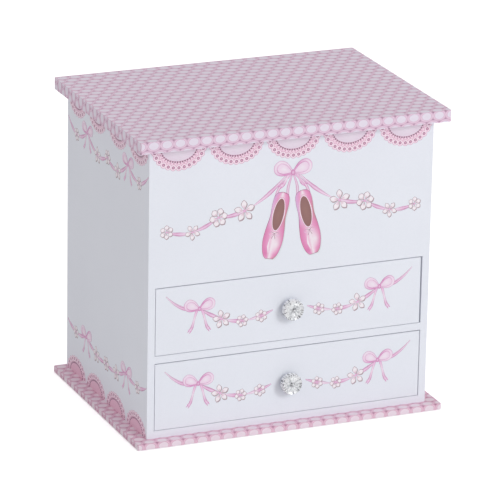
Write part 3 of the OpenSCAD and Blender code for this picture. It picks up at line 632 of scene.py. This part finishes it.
def bow_loop(p, path, width, height):
    """A ribbon that runs out from the knot and back, with the far side of its loop pale inside it."""
    closed = path + [path[0]]
    p.shape([tuple(q) for q in spline(closed, 5)][:-1], height - 0.03, RIBBON_LIGHT, RIBBON_PALE)
    p.ribbon(closed, [width * k for k in (0.3, 0.5, 0.9, 1.1, 0.9, 0.5, 0.3)], height,
             [RIBBON_MID, RIBBON_DEEP, RIBBON_MID, RIBBON_LIGHT, RIBBON_MID, RIBBON_DEEP],
             [RIBBON_LIGHT, RIBBON_MID, RIBBON_PALE, RIBBON_PALE, RIBBON_PALE, RIBBON_LIGHT], steps=5)


def bow(p, knot, size, droop=1.0):
    """A tied ribbon: two loops, two forked tails and a knot."""
    x, z = knot
    for side in (-1, 1):
        tail = []
        for t in (0, 0.25, 0.5, 0.75, 1):
            fall = size * droop * (1.2 * t - 0.12 * math.sin(math.tau * t))
            tail.append((x + side * size * (0.08 + 0.55 * t), z - fall))
        p.ribbon(tail, [size * w for w in (0.07, 0.15, 0.11, 0.17, 0.20)], 0.048 if side < 0 else 0.060,
                 [RIBBON_DEEP, RIBBON_MID, RIBBON_LIGHT, RIBBON_DEEP, RIBBON_MID],
                 [RIBBON_MID, RIBBON_LIGHT, RIBBON_PALE, RIBBON_LIGHT, RIBBON_PALE])
        end = Vector(tail[-1])
        run = (end - Vector(tail[-2])).normalized()
        across = Vector((-run.y, run.x)) * size * 0.055
        for k in (-1, 1):
            fork = [tuple(end - run * 0.2 + across * k), tuple(end + run * size * 0.16 + across * k * 1.35)]
            p.ribbon(fork, [size * 0.09, size * 0.02], 0.072, [RIBBON_MID, RIBBON_DEEP], steps=4, line=None)
        turn = math.pi / 2 - side * 1.18
        bow_loop(p, loop_path(knot, size, size * 0.42, turn), size * 0.17, 0.115 if side < 0 else 0.145)
    p.disc(knot, size * 0.12, 0.17, RIBBON_DEEP, RIBBON_LIGHT, 14, 1.25)


def hang(start, end, drop, t):
    """Point a fraction t of the way along a ribbon that hangs between two places."""
    return (start[0] + (end[0] - start[0]) * t, start[1] + (end[1] - start[1]) * t - 4 * drop * t * (1 - t))


def garland(p, start, end, drop, width, turns):
    """A ribbon that hangs between two places and twists flat and edge-on, with a thin strand beside it."""
    count = 4 * turns
    spots = [hang(start, end, drop, i / count) for i in range(count + 1)]
    widths = [width * (0.2 + 0.8 * math.sin(math.pi * turns * i / count) ** 2) for i in range(count + 1)]
    p.ribbon(spots, widths, 0.044, [RIBBON_LIGHT, RIBBON_DEEP, RIBBON_MID] * turns,
             [RIBBON_PALE, RIBBON_LIGHT, RIBBON_PALE] * turns, steps=5)
    strand = [(x, z + 1.3 * math.sin(math.pi * turns * i / count)) for i, (x, z) in enumerate(spots)]
    p.ribbon(strand, [0.2, 0.38, 0.38, 0.2], 0.030, [WIRE, RIBBON_LIGHT, WIRE], steps=5)


# Distance from the heel and half-width of a slipper, as shares of its length
SLIPPER_WIDTHS = ((0, 0.02), (0.02, 0.08), (0.08, 0.118), (0.2, 0.128), (0.38, 0.12), (0.55, 0.142),
                  (0.72, 0.156), (0.86, 0.136), (0.95, 0.104), (1.0, 0.062))


def slipper(p, heel, lean, length):
    """Satin slipper that hangs toe down: shaded satin, a pale bound rim, a dark lining and a tied string."""
    c, s = math.cos(lean), math.sin(lean)

    def at(t, w):
        return (heel[0] + length * (t * s + w * c), heel[1] - length * (t * c - w * s))

    one, other = [at(t, -w) for t, w in SLIPPER_WIDTHS], [at(t, w) for t, w in SLIPPER_WIDTHS]
    edge = spline(one, 5) + spline(other, 5)[::-1]
    middle = Vector(at(0.5, 0))
    fall = Vector((0.9, -0.9))
    p.shape([tuple(q + fall) for q in edge], 0.065, PAPER_SHADE, SOFT_SHADOW, tuple(middle + fall))
    sole = [tuple(middle + (q - middle) * (1 + 0.3 / max(1.0, (q - middle).length))) for q in edge]
    p.shape(sole, 0.080, SEAM, SEAM, tuple(middle))
    white, pink, rose, lilac = SATIN_WHITE, SATIN_PINK, SATIN_ROSE, SATIN_LILAC
    rows = [[lilac, pink, white, pink, rose]] * 3
    rows += [[lilac, white, white, pink, TAN], [rose, pink, white, pink, rose], [rose, pink, white, white, rose],
             [rose, rose, white, pink, rose], [pink, pink, white, pink, TAN]]
    p.panel(one, other, rows, 0.100)
    turns = [math.tau * i / 12 for i in range(12)]
    loop = [at(0.33 - 0.24 * math.cos(t), 0.080 * math.sin(t)) for t in turns]
    hole = spline(loop + [loop[0]], 5)[:-1]
    throat = Vector(at(0.33, 0))

    def grown(width):
        return [tuple(q + (q - throat).normalized() * width) for q in hole]

    p.shape(grown(1.15), 0.116, SATIN_ROSE, SATIN_ROSE, tuple(throat))
    p.shape(grown(0.85), 0.132, SATIN_WHITE, SATIN_WHITE, tuple(throat))
    p.shape(grown(0.12), 0.146, SATIN_ROSE, SATIN_ROSE, tuple(throat))
    p.shape([tuple(q) for q in hole], 0.160, LINING_BROWN, srgb(160, 118, 112), tuple(throat))
    gleam = [at(0.70, -0.05), at(0.82, -0.055), at(0.92, -0.03)]
    p.ribbon(gleam, [0.3, 1.3, 0.3], 0.118, [SATIN_WHITE, SATIN_WHITE], steps=5, line=None)
    for side in (-1, 1):
        string = [at(0.62, 0), at(0.60, side * 0.05), at(0.63, side * 0.085), at(0.655, side * 0.045),
                  at(0.62, 0), at(0.70, side * 0.03)]
        height = 0.180 if side < 0 else 0.192
        p.ribbon(string, [0.28] * 6, height, [SEAM, RIBBON_LIGHT, SEAM], steps=4, line=None)
    return at


def lace_row(p, count, half, edge, drop, down, satin=None):
    """Equal scallops from end to end of an edge."""
    pitch = 2 * half / count
    for i in range(count):
        lace(p, pitch * (i + 0.5) - half, edge, pitch * 0.475, drop, down, pitch * 0.30, drop * 0.57, satin)
    return pitch


def front_art():
    """Lace, and a pair of slippers that hang from a bow between two garlands."""
    y = low("front_panel").y
    rim = high("front_panel").z / MM
    half = high("right_side").x / MM - 0.3
    p = Print((0, y, 0), (1, 0, 0), (0, 0, 1))
    band = [(-half, rim - 0.9), (0, rim - 0.9), (half, rim - 0.9)]
    p.ribbon(band, [1.7, 1.7], 0.018, [INSET, INSET], [INSET_PALE, INSET_PALE], steps=16, line=None)
    pitch = lace_row(p, 5, half, rim - 0.4, 15.0, 1)
    knot = (0, rim - 25)
    for side in (-1, 1):
        near = (side * 4, knot[1] - 1)
        far, end = (side * 1.3 * pitch, rim - 50), (side * 2.2 * pitch, rim - 56)
        garland(p, near, far, 7, 2.6, 2)
        garland(p, far, end, 5, 2.2, 2)
        star_flower(p, hang(near, far, 7, 0.62), 7.2, 0.4)
        round_flower(p, far, 6.2, 0.2)
        star_flower(p, hang(far, end, 5, 0.5), 5.2, 0.9)
        round_flower(p, end, 4.6, 0.5)
        at = slipper(p, (side * 6.6, rim - 38), side * 0.21, 45)
        for k in (-0.11, 0.11):
            tie = at(0.14, k)
            bend = (tie[0] * 0.6 + side * 1.4, (knot[1] + tie[1]) / 2)
            p.ribbon([knot, bend, tie], [0.6, 1.7, 1.5], 0.052 + k * 0.1,
                     [RIBBON_MID, RIBBON_DEEP, RIBBON_MID], [RIBBON_LIGHT, RIBBON_PALE, RIBBON_LIGHT])
    bow(p, knot, 13, 0.55)
    p.finish("front_panel_print", "case")


def drawer_art(name):
    """A bow near each end, with garlands in to the knob and out to the corners."""
    front = name + "_front"
    a, b = low(front), high(front)
    p = Print((0, a.y, 0), (1, 0, 0), (0, 0, 1))
    z, half = (a.z + b.z) / 2 / MM, (b.x - a.x) / 2 / MM
    for side in (-1, 1):
        knot, inner = (side * 0.68 * half, z + 6), (side * 0.13 * half, z - 1)
        corner = (side * 0.93 * half, z + 17)
        garland(p, knot, inner, 8, 2.3, 3)
        garland(p, corner, knot, 4, 1.8, 1)
        star_flower(p, hang(knot, inner, 8, 0.3), 6.2, 0.5)
        round_flower(p, hang(knot, inner, 8, 0.58), 4.2, 0.2)
        round_flower(p, hang(knot, inner, 8, 0.84), 4.2, 0.6)
        bow(p, knot, 10.5, 1.15)
    p.finish(name + "_print", name)


def side_art(node, sign):
    """Lace along both edges of a side, with bows and garlands. sign is -1 on the left and 1 on the right."""
    a, b = low(node), high(node)
    x = a.x if sign < 0 else b.x
    half = -a.y / MM - 0.3
    p = Print((x, 0, 0), (0, sign, 0), (0, 0, 1))
    rim, foot = b.z / MM, a.z / MM
    pitch = lace_row(p, 4, half, rim, 14.6, 1)
    lace_row(p, 4, half, foot, 12.2, -1, INSET_PINK)
    for level, drop in ((rim - 20, 13), (foot + 33, 9)):
        for side in (-1, 1):
            knot, edge, inner = (side * pitch, level), (side * (half - 1), level + 2), (0, level - 6)
            garland(p, knot, inner, drop - 6, 2.2, 2)
            garland(p, knot, edge, drop - 5, 2.2, 2)
            star_flower(p, hang(knot, inner, drop - 6, 0.5), 5.6, 0.4)
            round_flower(p, hang(knot, edge, drop - 5, 0.55), 4.4, 0.2)
            bow(p, knot, 9.5)
        round_flower(p, (0, level - 6), 5.0, 0.1)
    p.finish(node + "_print", "case")


front_art()
drawer_art("upper_drawer")
drawer_art("lower_drawer")
side_art("left_side", -1)
side_art("right_side", 1)


# ---------------------------------------------------------------- knobs


def faceted_knob(node, body):
    """Cut knob: a fluted wall, a ring of small facets, a plain ring and a star of facets round an eye. Each
    facet gets a light, grey or dark painted reflection.
    """
    a, b = low(node), high(node)
    c = Vector(((a.x + b.x) / 2, 0, (a.z + b.z) / 2))
    r = (b.x - a.x) / 2
    back, depth = b.y, b.y - a.y
    count = 64
    rng = random.Random(3 if "upper" in node else 5)
    # Painted reflections: light, grey and dark colours that are picked at random for the facets
    bright, grey, dark = (0.90, 0.90, 0.91), (0.60, 0.61, 0.63), (0.16, 0.16, 0.18)
    # Each ring: radius, height along the knob, depth of its fluting and the painted reflection colours of the
    # band outside it
    rings = [
        (0.93, 0.02, 0.0, [grey]),
        (0.985, 0.10, 0.018, [grey, bright]),
        (0.985, 0.58, 0.018, [bright, grey, bright, grey, bright, dark]),
        (0.955, 0.70, 0.0, [grey, bright]),
        (0.90, 0.80, 0.0, [bright, grey, bright, bright, dark]),
        (0.70, 0.70, 0.0, [bright, grey, bright, dark, bright, bright]),
        (0.66, 0.76, 0.0, [bright]),
        (0.54, 0.80, 0.0, [bright, bright, grey]),
        (0.24, 0.72, 0.0, [bright, grey]),
        (0.12, 0.90, 0.0, [dark, bright, grey, dark]),
    ]
    bm = bmesh.new()
    layer = bm.loops.layers.float_color.new("tint")

    def face(corners, painted_reflection_tones):
        f = bm.faces.new(corners)
        v = rng.choice(painted_reflection_tones)
        for l in f.loops:
            l[layer] = (*v, 1)

    loops = []
    for radius, t, flute, painted_reflection_tones in rings:
        ring = []
        for i in range(count):
            out, a = r * (radius - flute * (i % 2)), 2 * math.pi * i / count
            ring.append(bm.verts.new((c.x + out * math.cos(a), back - depth * t, c.z + out * math.sin(a))))
        loops.append(ring)
    for (p, q), (radius, t, flute, painted_reflection_tones) in zip(zip(loops, loops[1:]), rings[1:]):
        wide = 2 if radius < 0.6 else 1
        for i in range(0, count, wide):
            v = [rng.choice(painted_reflection_tones)]
            for k in range(i, i + wide):
                j = (k + 1) % count
                face((p[k], p[j], q[j], q[k]), v)
    face(loops[0], [grey])
    tip = bm.verts.new((c.x, back - depth * 0.99, c.z))
    for i in range(count):
        face((loops[-1][i], loops[-1][(i + 1) % count], tip), [dark, grey, bright] if i % 8 else [bright])
    bmesh.ops.recalc_face_normals(bm, faces=bm.faces)
    mesh = bpy.data.meshes.new(node + "_cut")
    bm.to_mesh(mesh)
    bm.free()
    obj = add_object(node + "_cut", mesh, CRYSTAL_PAINTED_REFLECTIONS, body)
    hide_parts(node)


for drawer in ("upper", "lower"):
    faceted_knob(drawer + "_knob", drawer + "_drawer")


# ---------------------------------------------------------------- screw slots


def cross_slots(name, centres, axis, size, body, material):
    """Cross recesses shown as dark shallow bars on screw heads; their dark colour is painted shade standing in
    for the hollow of each recess.
    """
    axis = Vector(axis)
    side = Vector((1, 0, 0)) if abs(axis.x) < 0.5 else Vector((0, 1, 0))
    other = axis.cross(side)
    bm = bmesh.new()
    for c in centres:
        for d, e in ((side, other), (other, side)):
            corners = []
            for h in (-0.02, 0.03):
                for s, t in ((-1, -1), (1, -1), (1, 1), (-1, 1)):
                    offset = d * s * size * 0.6 + e * t * size * 0.14 + axis * h
                    corners.append(bm.verts.new(Vector(c) + offset * MM))
            lo, hi = corners[:4], corners[4:]
            bm.faces.new(lo[::-1])
            bm.faces.new(hi)
            for i in range(4):
                j = (i + 1) % 4
                bm.faces.new((lo[i], lo[j], hi[j], hi[i]))
    bmesh.ops.recalc_face_normals(bm, faces=bm.faces)
    mesh = bpy.data.meshes.new(name)
    bm.to_mesh(mesh)
    bm.free()
    return add_object(name, mesh, material, body)


def islands(node):
    """Lowest and highest corner of each separate solid of a CAD node."""
    bm = bmesh.new()
    bm.from_mesh(frame["nodes"][node].data)
    bmesh.ops.remove_doubles(bm, verts=bm.verts, dist=1e-6)
    left, found = set(bm.verts), []
    while left:
        stack, seen = [left.pop()], []
        while stack:
            v = stack.pop()
            seen.append(v.co.copy())
            for e in v.link_edges:
                w = e.other_vert(v)
                if w in left:
                    left.discard(w)
                    stack.append(w)
        found.append(tuple(Vector([pick(p[k] for p in seen) for k in range(3)]) for pick in (min, max)))
    bm.free()
    return found


# Painted shade: a dark steel colour for the bars, standing for the shadow inside each cross recess
RECESS_PAINTED_SHADE = metal("recess_painted_shade", (70, 72, 78), 0.5, (50, 52, 56))
back_face = high("back_panel").y
heads = [((a.x + b.x) / 2, b.y, (a.z + b.z) / 2) for a, b in islands("movement_screws")
         if b.y > back_face - 0.001]
cross_slots("back_screw_recesses", heads, (0, 1, 0), 2.4, "case", RECESS_PAINTED_SHADE)
for drawer in ("upper", "lower"):
    a, b = low(drawer + "_knob_screw"), high(drawer + "_knob_screw")
    heads = [((a.x + b.x) / 2, b.y, (a.z + b.z) / 2)]
    cross_slots(drawer + "_knob_screw_recess", heads, (0, 1, 0), 3.0, drawer + "_drawer", RECESS_PAINTED_SHADE)
heads = [((a.x + b.x) / 2, (a.y + b.y) / 2, a.z) for a, b in islands("hinge_lid_screws")]
cross_slots("lid_screw_recesses", heads, (0, 0, -1), 1.3, "lid", RECESS_PAINTED_SHADE)


# ---------------------------------------------------------------- ring rolls


def puffed(obj, cap):
    """Inflates a closed mesh a little with cloth pressure and keeps the result."""
    scene = bpy.context.scene
    cloth = obj.modifiers.new("cloth", "CLOTH")
    cloth.settings.quality = 4
    cloth.settings.mass = 0.2
    cloth.settings.use_pressure = True
    cloth.settings.uniform_pressure_force = 4
    cloth.settings.effector_weights.gravity = 0
    cloth.point_cache.frame_start, cloth.point_cache.frame_end = 1, 14
    start = [v.co.copy() for v in obj.data.vertices]
    for f in range(1, 15):
        scene.frame_set(f)
    solved = obj.evaluated_get(bpy.context.evaluated_depsgraph_get()).to_mesh()
    for v, s, e in zip(obj.data.vertices, start, [v.co.copy() for v in solved.vertices]):
        move = e - s
        if move.length > cap:
            move *= cap / move.length
        v.co = s + move
    obj.modifiers.remove(cloth)
    scene.frame_set(1)


def ring_rolls():
    for k, (a, b) in enumerate(sorted(islands("ring_rolls"), key=lambda p: p[0].y)):
        c, r = (a + b) / 2, (b.z - a.z) / 2
        count, segs = 93, 20
        bm = bmesh.new()
        rings = []
        for i in range(count + 1):
            x = a.x + 0.0002 + (b.x - a.x - 0.0004) * i / count
            end = min(x - a.x, b.x - x)
            rr = r * 0.955 * (1 + 0.006 * math.sin(i * 1.7 + k))
            if end <= r * 0.8:
                rr *= math.sqrt(max(0.05, 1 - (1 - end / (r * 0.8)) ** 2))
            turns = [2 * math.pi * j / segs for j in range(segs)]
            rings.append([bm.verts.new((x, c.y + rr * math.cos(t), c.z + rr * math.sin(t))) for t in turns])
        for i in range(count):
            for j in range(segs):
                l = (j + 1) % segs
                bm.faces.new((rings[i][j], rings[i + 1][j], rings[i + 1][l], rings[i][l]))
        bm.faces.new(rings[0])
        bm.faces.new(rings[-1][::-1])
        bmesh.ops.recalc_face_normals(bm, faces=bm.faces)
        mesh = bpy.data.meshes.new(f"ring_roll_{k + 1}")
        bm.to_mesh(mesh)
        bm.free()
        obj = add_object(mesh.name, mesh, ROLL_VELVET, "case", True)
        puffed(obj, 0.00015)
        smooth = obj.modifiers.new("smooth", "SUBSURF")
        smooth.levels = smooth.render_levels = 1
        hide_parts("ring_rolls")


ring_rolls()


# ---------------------------------------------------------------- dancer

SKIN = srgb(244, 208, 188)
HAIR = srgb(112, 72, 52)
BODICE = srgb(240, 168, 200)
TIGHTS = srgb(250, 232, 234)
SHOE = srgb(236, 150, 190)
STAND = srgb(248, 240, 244)
EYES = srgb(70, 50, 48)
LIPS = srgb(206, 88, 104)


def tube(bm, points, radii, segs=14):
    """Closed round tube along points with a radius at each, rounded at both ends."""
    pts = [Vector(p) for p in points]
    d0, d1 = (pts[0] - pts[1]).normalized(), (pts[-1] - pts[-2]).normalized()
    pts = [pts[0] + d0 * radii[0] * 0.9] + pts + [pts[-1] + d1 * radii[-1] * 0.9]
    radii = [radii[0] * 0.3] + list(radii) + [radii[-1] * 0.3]
    rings = []
    for i, p in enumerate(pts):
        d = (pts[min(i + 1, len(pts) - 1)] - pts[max(i - 1, 0)]).normalized()
        u = d.cross(Vector((0.3, 1, 0.2))).normalized()
        v = d.cross(u)
        turns = [2 * math.pi * k / segs for k in range(segs)]
        rings.append([bm.verts.new(p + (u * math.cos(t) + v * math.sin(t)) * radii[i]) for t in turns])
    for a, b in zip(rings, rings[1:]):
        for k in range(segs):
            l = (k + 1) % segs
            bm.faces.new((a[k], a[l], b[l], b[k]))
    bm.faces.new(rings[0][::-1])
    bm.faces.new(rings[-1])


def dancer():
    a, b = low("ballerina"), high("ballerina")
    cx, cy = (a.x + b.x) / 2, (a.y + b.y) / 2
    h = (b.z - a.z) / MM * 1.01
    waist = h * 0.52

    def at(x, y, z):
        return (cx + x * MM, cy + y * MM, a.z + z * MM)

    bm = bmesh.new()

    def part(points, radii):
        tube(bm, [at(*p) for p in points], [r * MM for r in radii])

    # Standing leg, then the raised leg's thigh and shin
    part([(0, -0.1, 1.2), (0, 0, h * 0.06), (0.05, 0.05, h * 0.12), (0.1, 0.3, h * 0.2),
          (0.05, 0, h * 0.27), (0, -0.1, h * 0.36), (0, 0, h * 0.45), (0, 0, waist - 2)],
         [0.55, 0.7, 0.8, 1.3, 1.0, 1.4, 1.75, 1.9])
    part([(0.4, 0, waist - 3.6), (2.6, -1.2, h * 0.41), (4.9, -2.3, h * 0.345)], [1.75, 1.45, 1.05])
    part([(4.9, -2.3, h * 0.345), (3.6, -1.8, h * 0.31), (2.2, -1.5, h * 0.27), (1.1, -1.4, h * 0.235)],
         [1.05, 1.15, 0.75, 0.5])
    # Body, shoulders, neck, head, nose and bun
    part([(0, 0, waist - 4), (0, 0, waist - 1.6), (0, 0.1, waist + 0.9), (0, 0, waist + 3.6),
          (0, -0.1, h * 0.685)],
         [1.9, 2.05, 1.55, 1.95, 1.9])
    part([(-2.0, 0, h * 0.69), (0, 0, h * 0.70), (2.0, 0, h * 0.69)], [0.85, 1.2, 0.85])
    part([(0, 0, h * 0.70), (0, 0, h * 0.75), (0, -0.1, h * 0.79)], [0.85, 0.7, 0.75])
    part([(0, -0.15, h * 0.785), (0, -0.25, h * 0.815), (0, 0.0, h * 0.85), (0, 0.15, h * 0.875)],
         [1.1, 1.75, 1.95, 1.3])
    part([(0, -1.9, h * 0.828), (0, -2.15, h * 0.82)], [0.3, 0.22])
    part([(0, 1.0, h * 0.89), (0, 1.1, h * 0.905)], [1.0, 0.8])
    for s in (-1, 1):
        part([(s * 1.9, 0, h * 0.69), (s * 3.4, -0.2, h * 0.75), (s * 4.9, -0.5, h * 0.83),
              (s * 4.9, -0.8, h * 0.88), (s * 3.6, -1.1, h * 0.935), (s * 1.6, -1.3, h * 0.972)],
             [0.75, 0.68, 0.58, 0.52, 0.45, 0.35])
        part([(s * 1.6, -1.3, h * 0.972), (s * 0.7, -1.4, h * 0.978)], [0.42, 0.22])
    mesh = bpy.data.meshes.new("dancer_figure")
    bm.to_mesh(mesh)
    bm.free()
    obj = bpy.data.objects.new("dancer_rough", mesh)
    bpy.context.scene.collection.objects.link(obj)
    remesh = obj.modifiers.new("join", "REMESH")
    remesh.mode = "VOXEL"
    remesh.voxel_size = 0.00028
    relax = obj.modifiers.new("relax", "SMOOTH")
    relax.factor, relax.iterations = 0.6, 4
    bpy.context.view_layer.update()
    joined = bpy.data.meshes.new_from_object(obj.evaluated_get(bpy.context.evaluated_depsgraph_get()))
    bpy.data.objects.remove(obj)
    layer = joined.color_attributes.new("tint", "FLOAT_COLOR", "POINT")
    for v, c in zip(joined.vertices, layer.data):
        x, y, z = (v.co.x - cx) / MM, (v.co.y - cy) / MM, (v.co.z - a.z) / MM
        tone = SKIN
        behind_hairline = y > -0.1 + (h * 0.86 - z) * 0.55 or z > h * 0.872
        if z < h * 0.085 or (z < h * 0.262 and x > 0.75 and y < -0.9):
            tone = SHOE
        elif z < waist - 0.5:
            tone = TIGHTS
        elif z < h * 0.665 and abs(x) < 2.6:
            tone = BODICE
        elif z > h * 0.80 and abs(x) < 2.6 and behind_hairline and y > -1.35:
            tone = HAIR
        elif y < -1.1 and abs(abs(x) - 0.75) < 0.3 and abs(z - h * 0.84) < 0.24:
            tone = EYES
        elif y < -1.1 and abs(x) < 0.5 and abs(z - h * 0.803) < 0.22:
            tone = LIPS
        c.color = tone
    joined.name = "dancer_figure"
    figure = add_object("dancer_figure", joined, PAINT, "dancer", True)
    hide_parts("ballerina")

    # Turntable with a rounded rim
    bm = bmesh.new()
    segs = 48
    profile = [(6.7, 0.02), (6.95, 0.3), (6.95, 0.9), (6.7, 1.35), (6.2, 1.5), (5.6, 1.42), (1.2, 1.5)]
    turns = [2 * math.pi * k / segs for k in range(segs)]
    rings = [[bm.verts.new(at(r * math.cos(t), r * math.sin(t), z)) for t in turns] for r, z in profile]
    for p, q in zip(rings, rings[1:]):
        for k in range(segs):
            l = (k + 1) % segs
            bm.faces.new((p[k], p[l], q[l], q[k]))
    bm.faces.new(rings[0][::-1])
    bm.faces.new(rings[-1])
    layer = bm.loops.layers.float_color.new("tint")
    for f in bm.faces:
        for l in f.loops:
            l[layer] = STAND
    mesh = bpy.data.meshes.new("dancer_stand")
    bm.to_mesh(mesh)
    bm.free()
    stand = add_object("dancer_stand", mesh, PAINT, "dancer", True)
    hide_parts("ballerina")


WAIST = 1.9 * MM  # radius of the hole in each net ring


def tutu():
    """Three net rings, each cut as a flat circle with a hole, whose ruffles grow towards the hem."""
    a, b = low("tutu"), high("tutu")
    cx, cy = (a.x + b.x) / 2, (a.y + b.y) / 2
    reach = (b.x - a.x) / 2 / MM
    top = b.z
    # Each layer: radius of its hem, height at its waist, droop and number of ruffles
    layers = ((reach - 0.1, -0.15, 2.1, 22), (reach - 0.5, -0.5, 2.4, 19), (reach - 1.2, -0.9, 2.35, 17))
    for k, (outer, start, droop, waves) in enumerate(layers):
        segs, steps = 198, 12
        bm = bmesh.new()
        rings = []
        for i in range(steps + 1):
            t = i / steps
            ring = []
            for j in range(segs):
                ang = 2 * math.pi * j / segs
                wave = math.sin(waves * ang + k) + 0.4 * math.sin((2 * waves + 5) * ang + 2 * k + 3 * t)
                r = WAIST / MM + (outer - WAIST / MM) * t
                z = start - droop * t * t + 0.34 * t * wave * min(1.0, t + 0.25)
                x, y = cx + r * math.cos(ang) * MM, cy + r * math.sin(ang) * MM
                ring.append(bm.verts.new((x, y, top + min(z, -0.02) * MM)))
            rings.append(ring)
        for p, q in zip(rings, rings[1:]):
            for j in range(segs):
                l = (j + 1) % segs
                bm.faces.new((p[j], q[j], q[l], p[l]))
        mesh = bpy.data.meshes.new(f"tutu_layer_{k + 1}")
        bm.to_mesh(mesh)
        bm.free()
        obj = add_object(mesh.name, mesh, TULLE, "dancer", True)
        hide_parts("tutu")


dancer()
tutu()


# ---------------------------------------------------------------- stage, light and camera


def area_light(name, place, target, power, size, colour=(1, 1, 1)):
    data = bpy.data.lights.new(name, "AREA")
    data.energy, data.size, data.color = power, size, colour
    obj = bpy.data.objects.new(name, data)
    obj.location = place
    obj.rotation_euler = (Vector(target) - Vector(place)).to_track_quat("-Z", "Y").to_euler()
    bpy.context.scene.collection.objects.link(obj)


def stage():
    mesh = bpy.data.meshes.new("floor")
    n, size = 8, 4.0
    row = n + 1
    verts = [((i / n - 0.5) * 2 * size, (j / n - 0.5) * 2 * size, 0) for j in range(row) for i in range(row)]
    corners = [j * row + i for j in range(n) for i in range(n)]
    faces = [(k, k + 1, k + row + 1, k + row) for k in corners]
    mesh.from_pydata(verts, [], faces)
    floor = bpy.data.objects.new("floor", mesh)
    bpy.context.scene.collection.objects.link(floor)
    m = Mat("floor", 0.9)
    m.set("Base Color", m.mix(m.noise(3), (0.86, 0.86, 0.87, 1), (0.88, 0.88, 0.89, 1)))
    path = m.tree.nodes.new("ShaderNodeLightPath")
    m.set("Emission Color", (1, 1, 1, 1))
    m.set("Emission Strength", m.math("MULTIPLY", path.outputs["Is Camera Ray"], 0.55))
    mesh.materials.append(m.mat)
    world = bpy.data.worlds.new("studio")
    bpy.context.scene.world = world
    world.use_nodes = True
    tree = world.node_tree
    background = tree.nodes["Background"]
    path = tree.nodes.new("ShaderNodeLightPath")
    strength = tree.nodes.new("ShaderNodeMix")
    tree.links.new(path.outputs["Is Camera Ray"], strength.inputs[0])
    strength.inputs[2].default_value, strength.inputs[3].default_value = 0.53, 1.1
    tree.links.new(strength.outputs[0], background.inputs[1])
    background.inputs[0].default_value = (1, 1, 1, 1)
    middle = (0, 0, 0.1)
    area_light("key", (1.3, -2.9, 1.7), middle, 35.6, 1.2, (0.98, 1.0, 1.0))
    area_light("low_front", (1.3, -2.6, 0.25), middle, 5.6, 1.2, (0.98, 1.0, 1.0))
    area_light("top", (0.3, 0.4, 2.4), middle, 5, 1.6)
    area_light("fill", (-2.6, -0.6, 1.0), middle, 4.4, 1.5, (1.0, 0.965, 0.96))


def camera():
    yaw, pitch, roll = math.radians(23.298), math.radians(18.795), math.radians(-1.078)
    ahead = Vector((math.sin(yaw) * math.cos(pitch), math.cos(yaw) * math.cos(pitch), -math.sin(pitch)))
    right = Vector((math.cos(yaw), -math.sin(yaw), 0))
    up = right.cross(ahead)
    r2 = right * math.cos(roll) - up * math.sin(roll)
    u2 = right * math.sin(roll) + up * math.cos(roll)
    data = bpy.data.cameras.new("camera")
    data.sensor_width = 36
    data.lens = 290.8
    data.clip_end = 20
    obj = bpy.data.objects.new("camera", data)
    turn = Matrix((r2, u2, -ahead)).transposed().to_4x4()
    obj.matrix_world = Matrix.Translation(Vector((-1.00906, -2.34924, 0.9698))) @ turn
    bpy.context.scene.collection.objects.link(obj)
    bpy.context.scene.camera = obj


stage()
camera()
bpy.context.scene.view_settings.view_transform = "Standard"
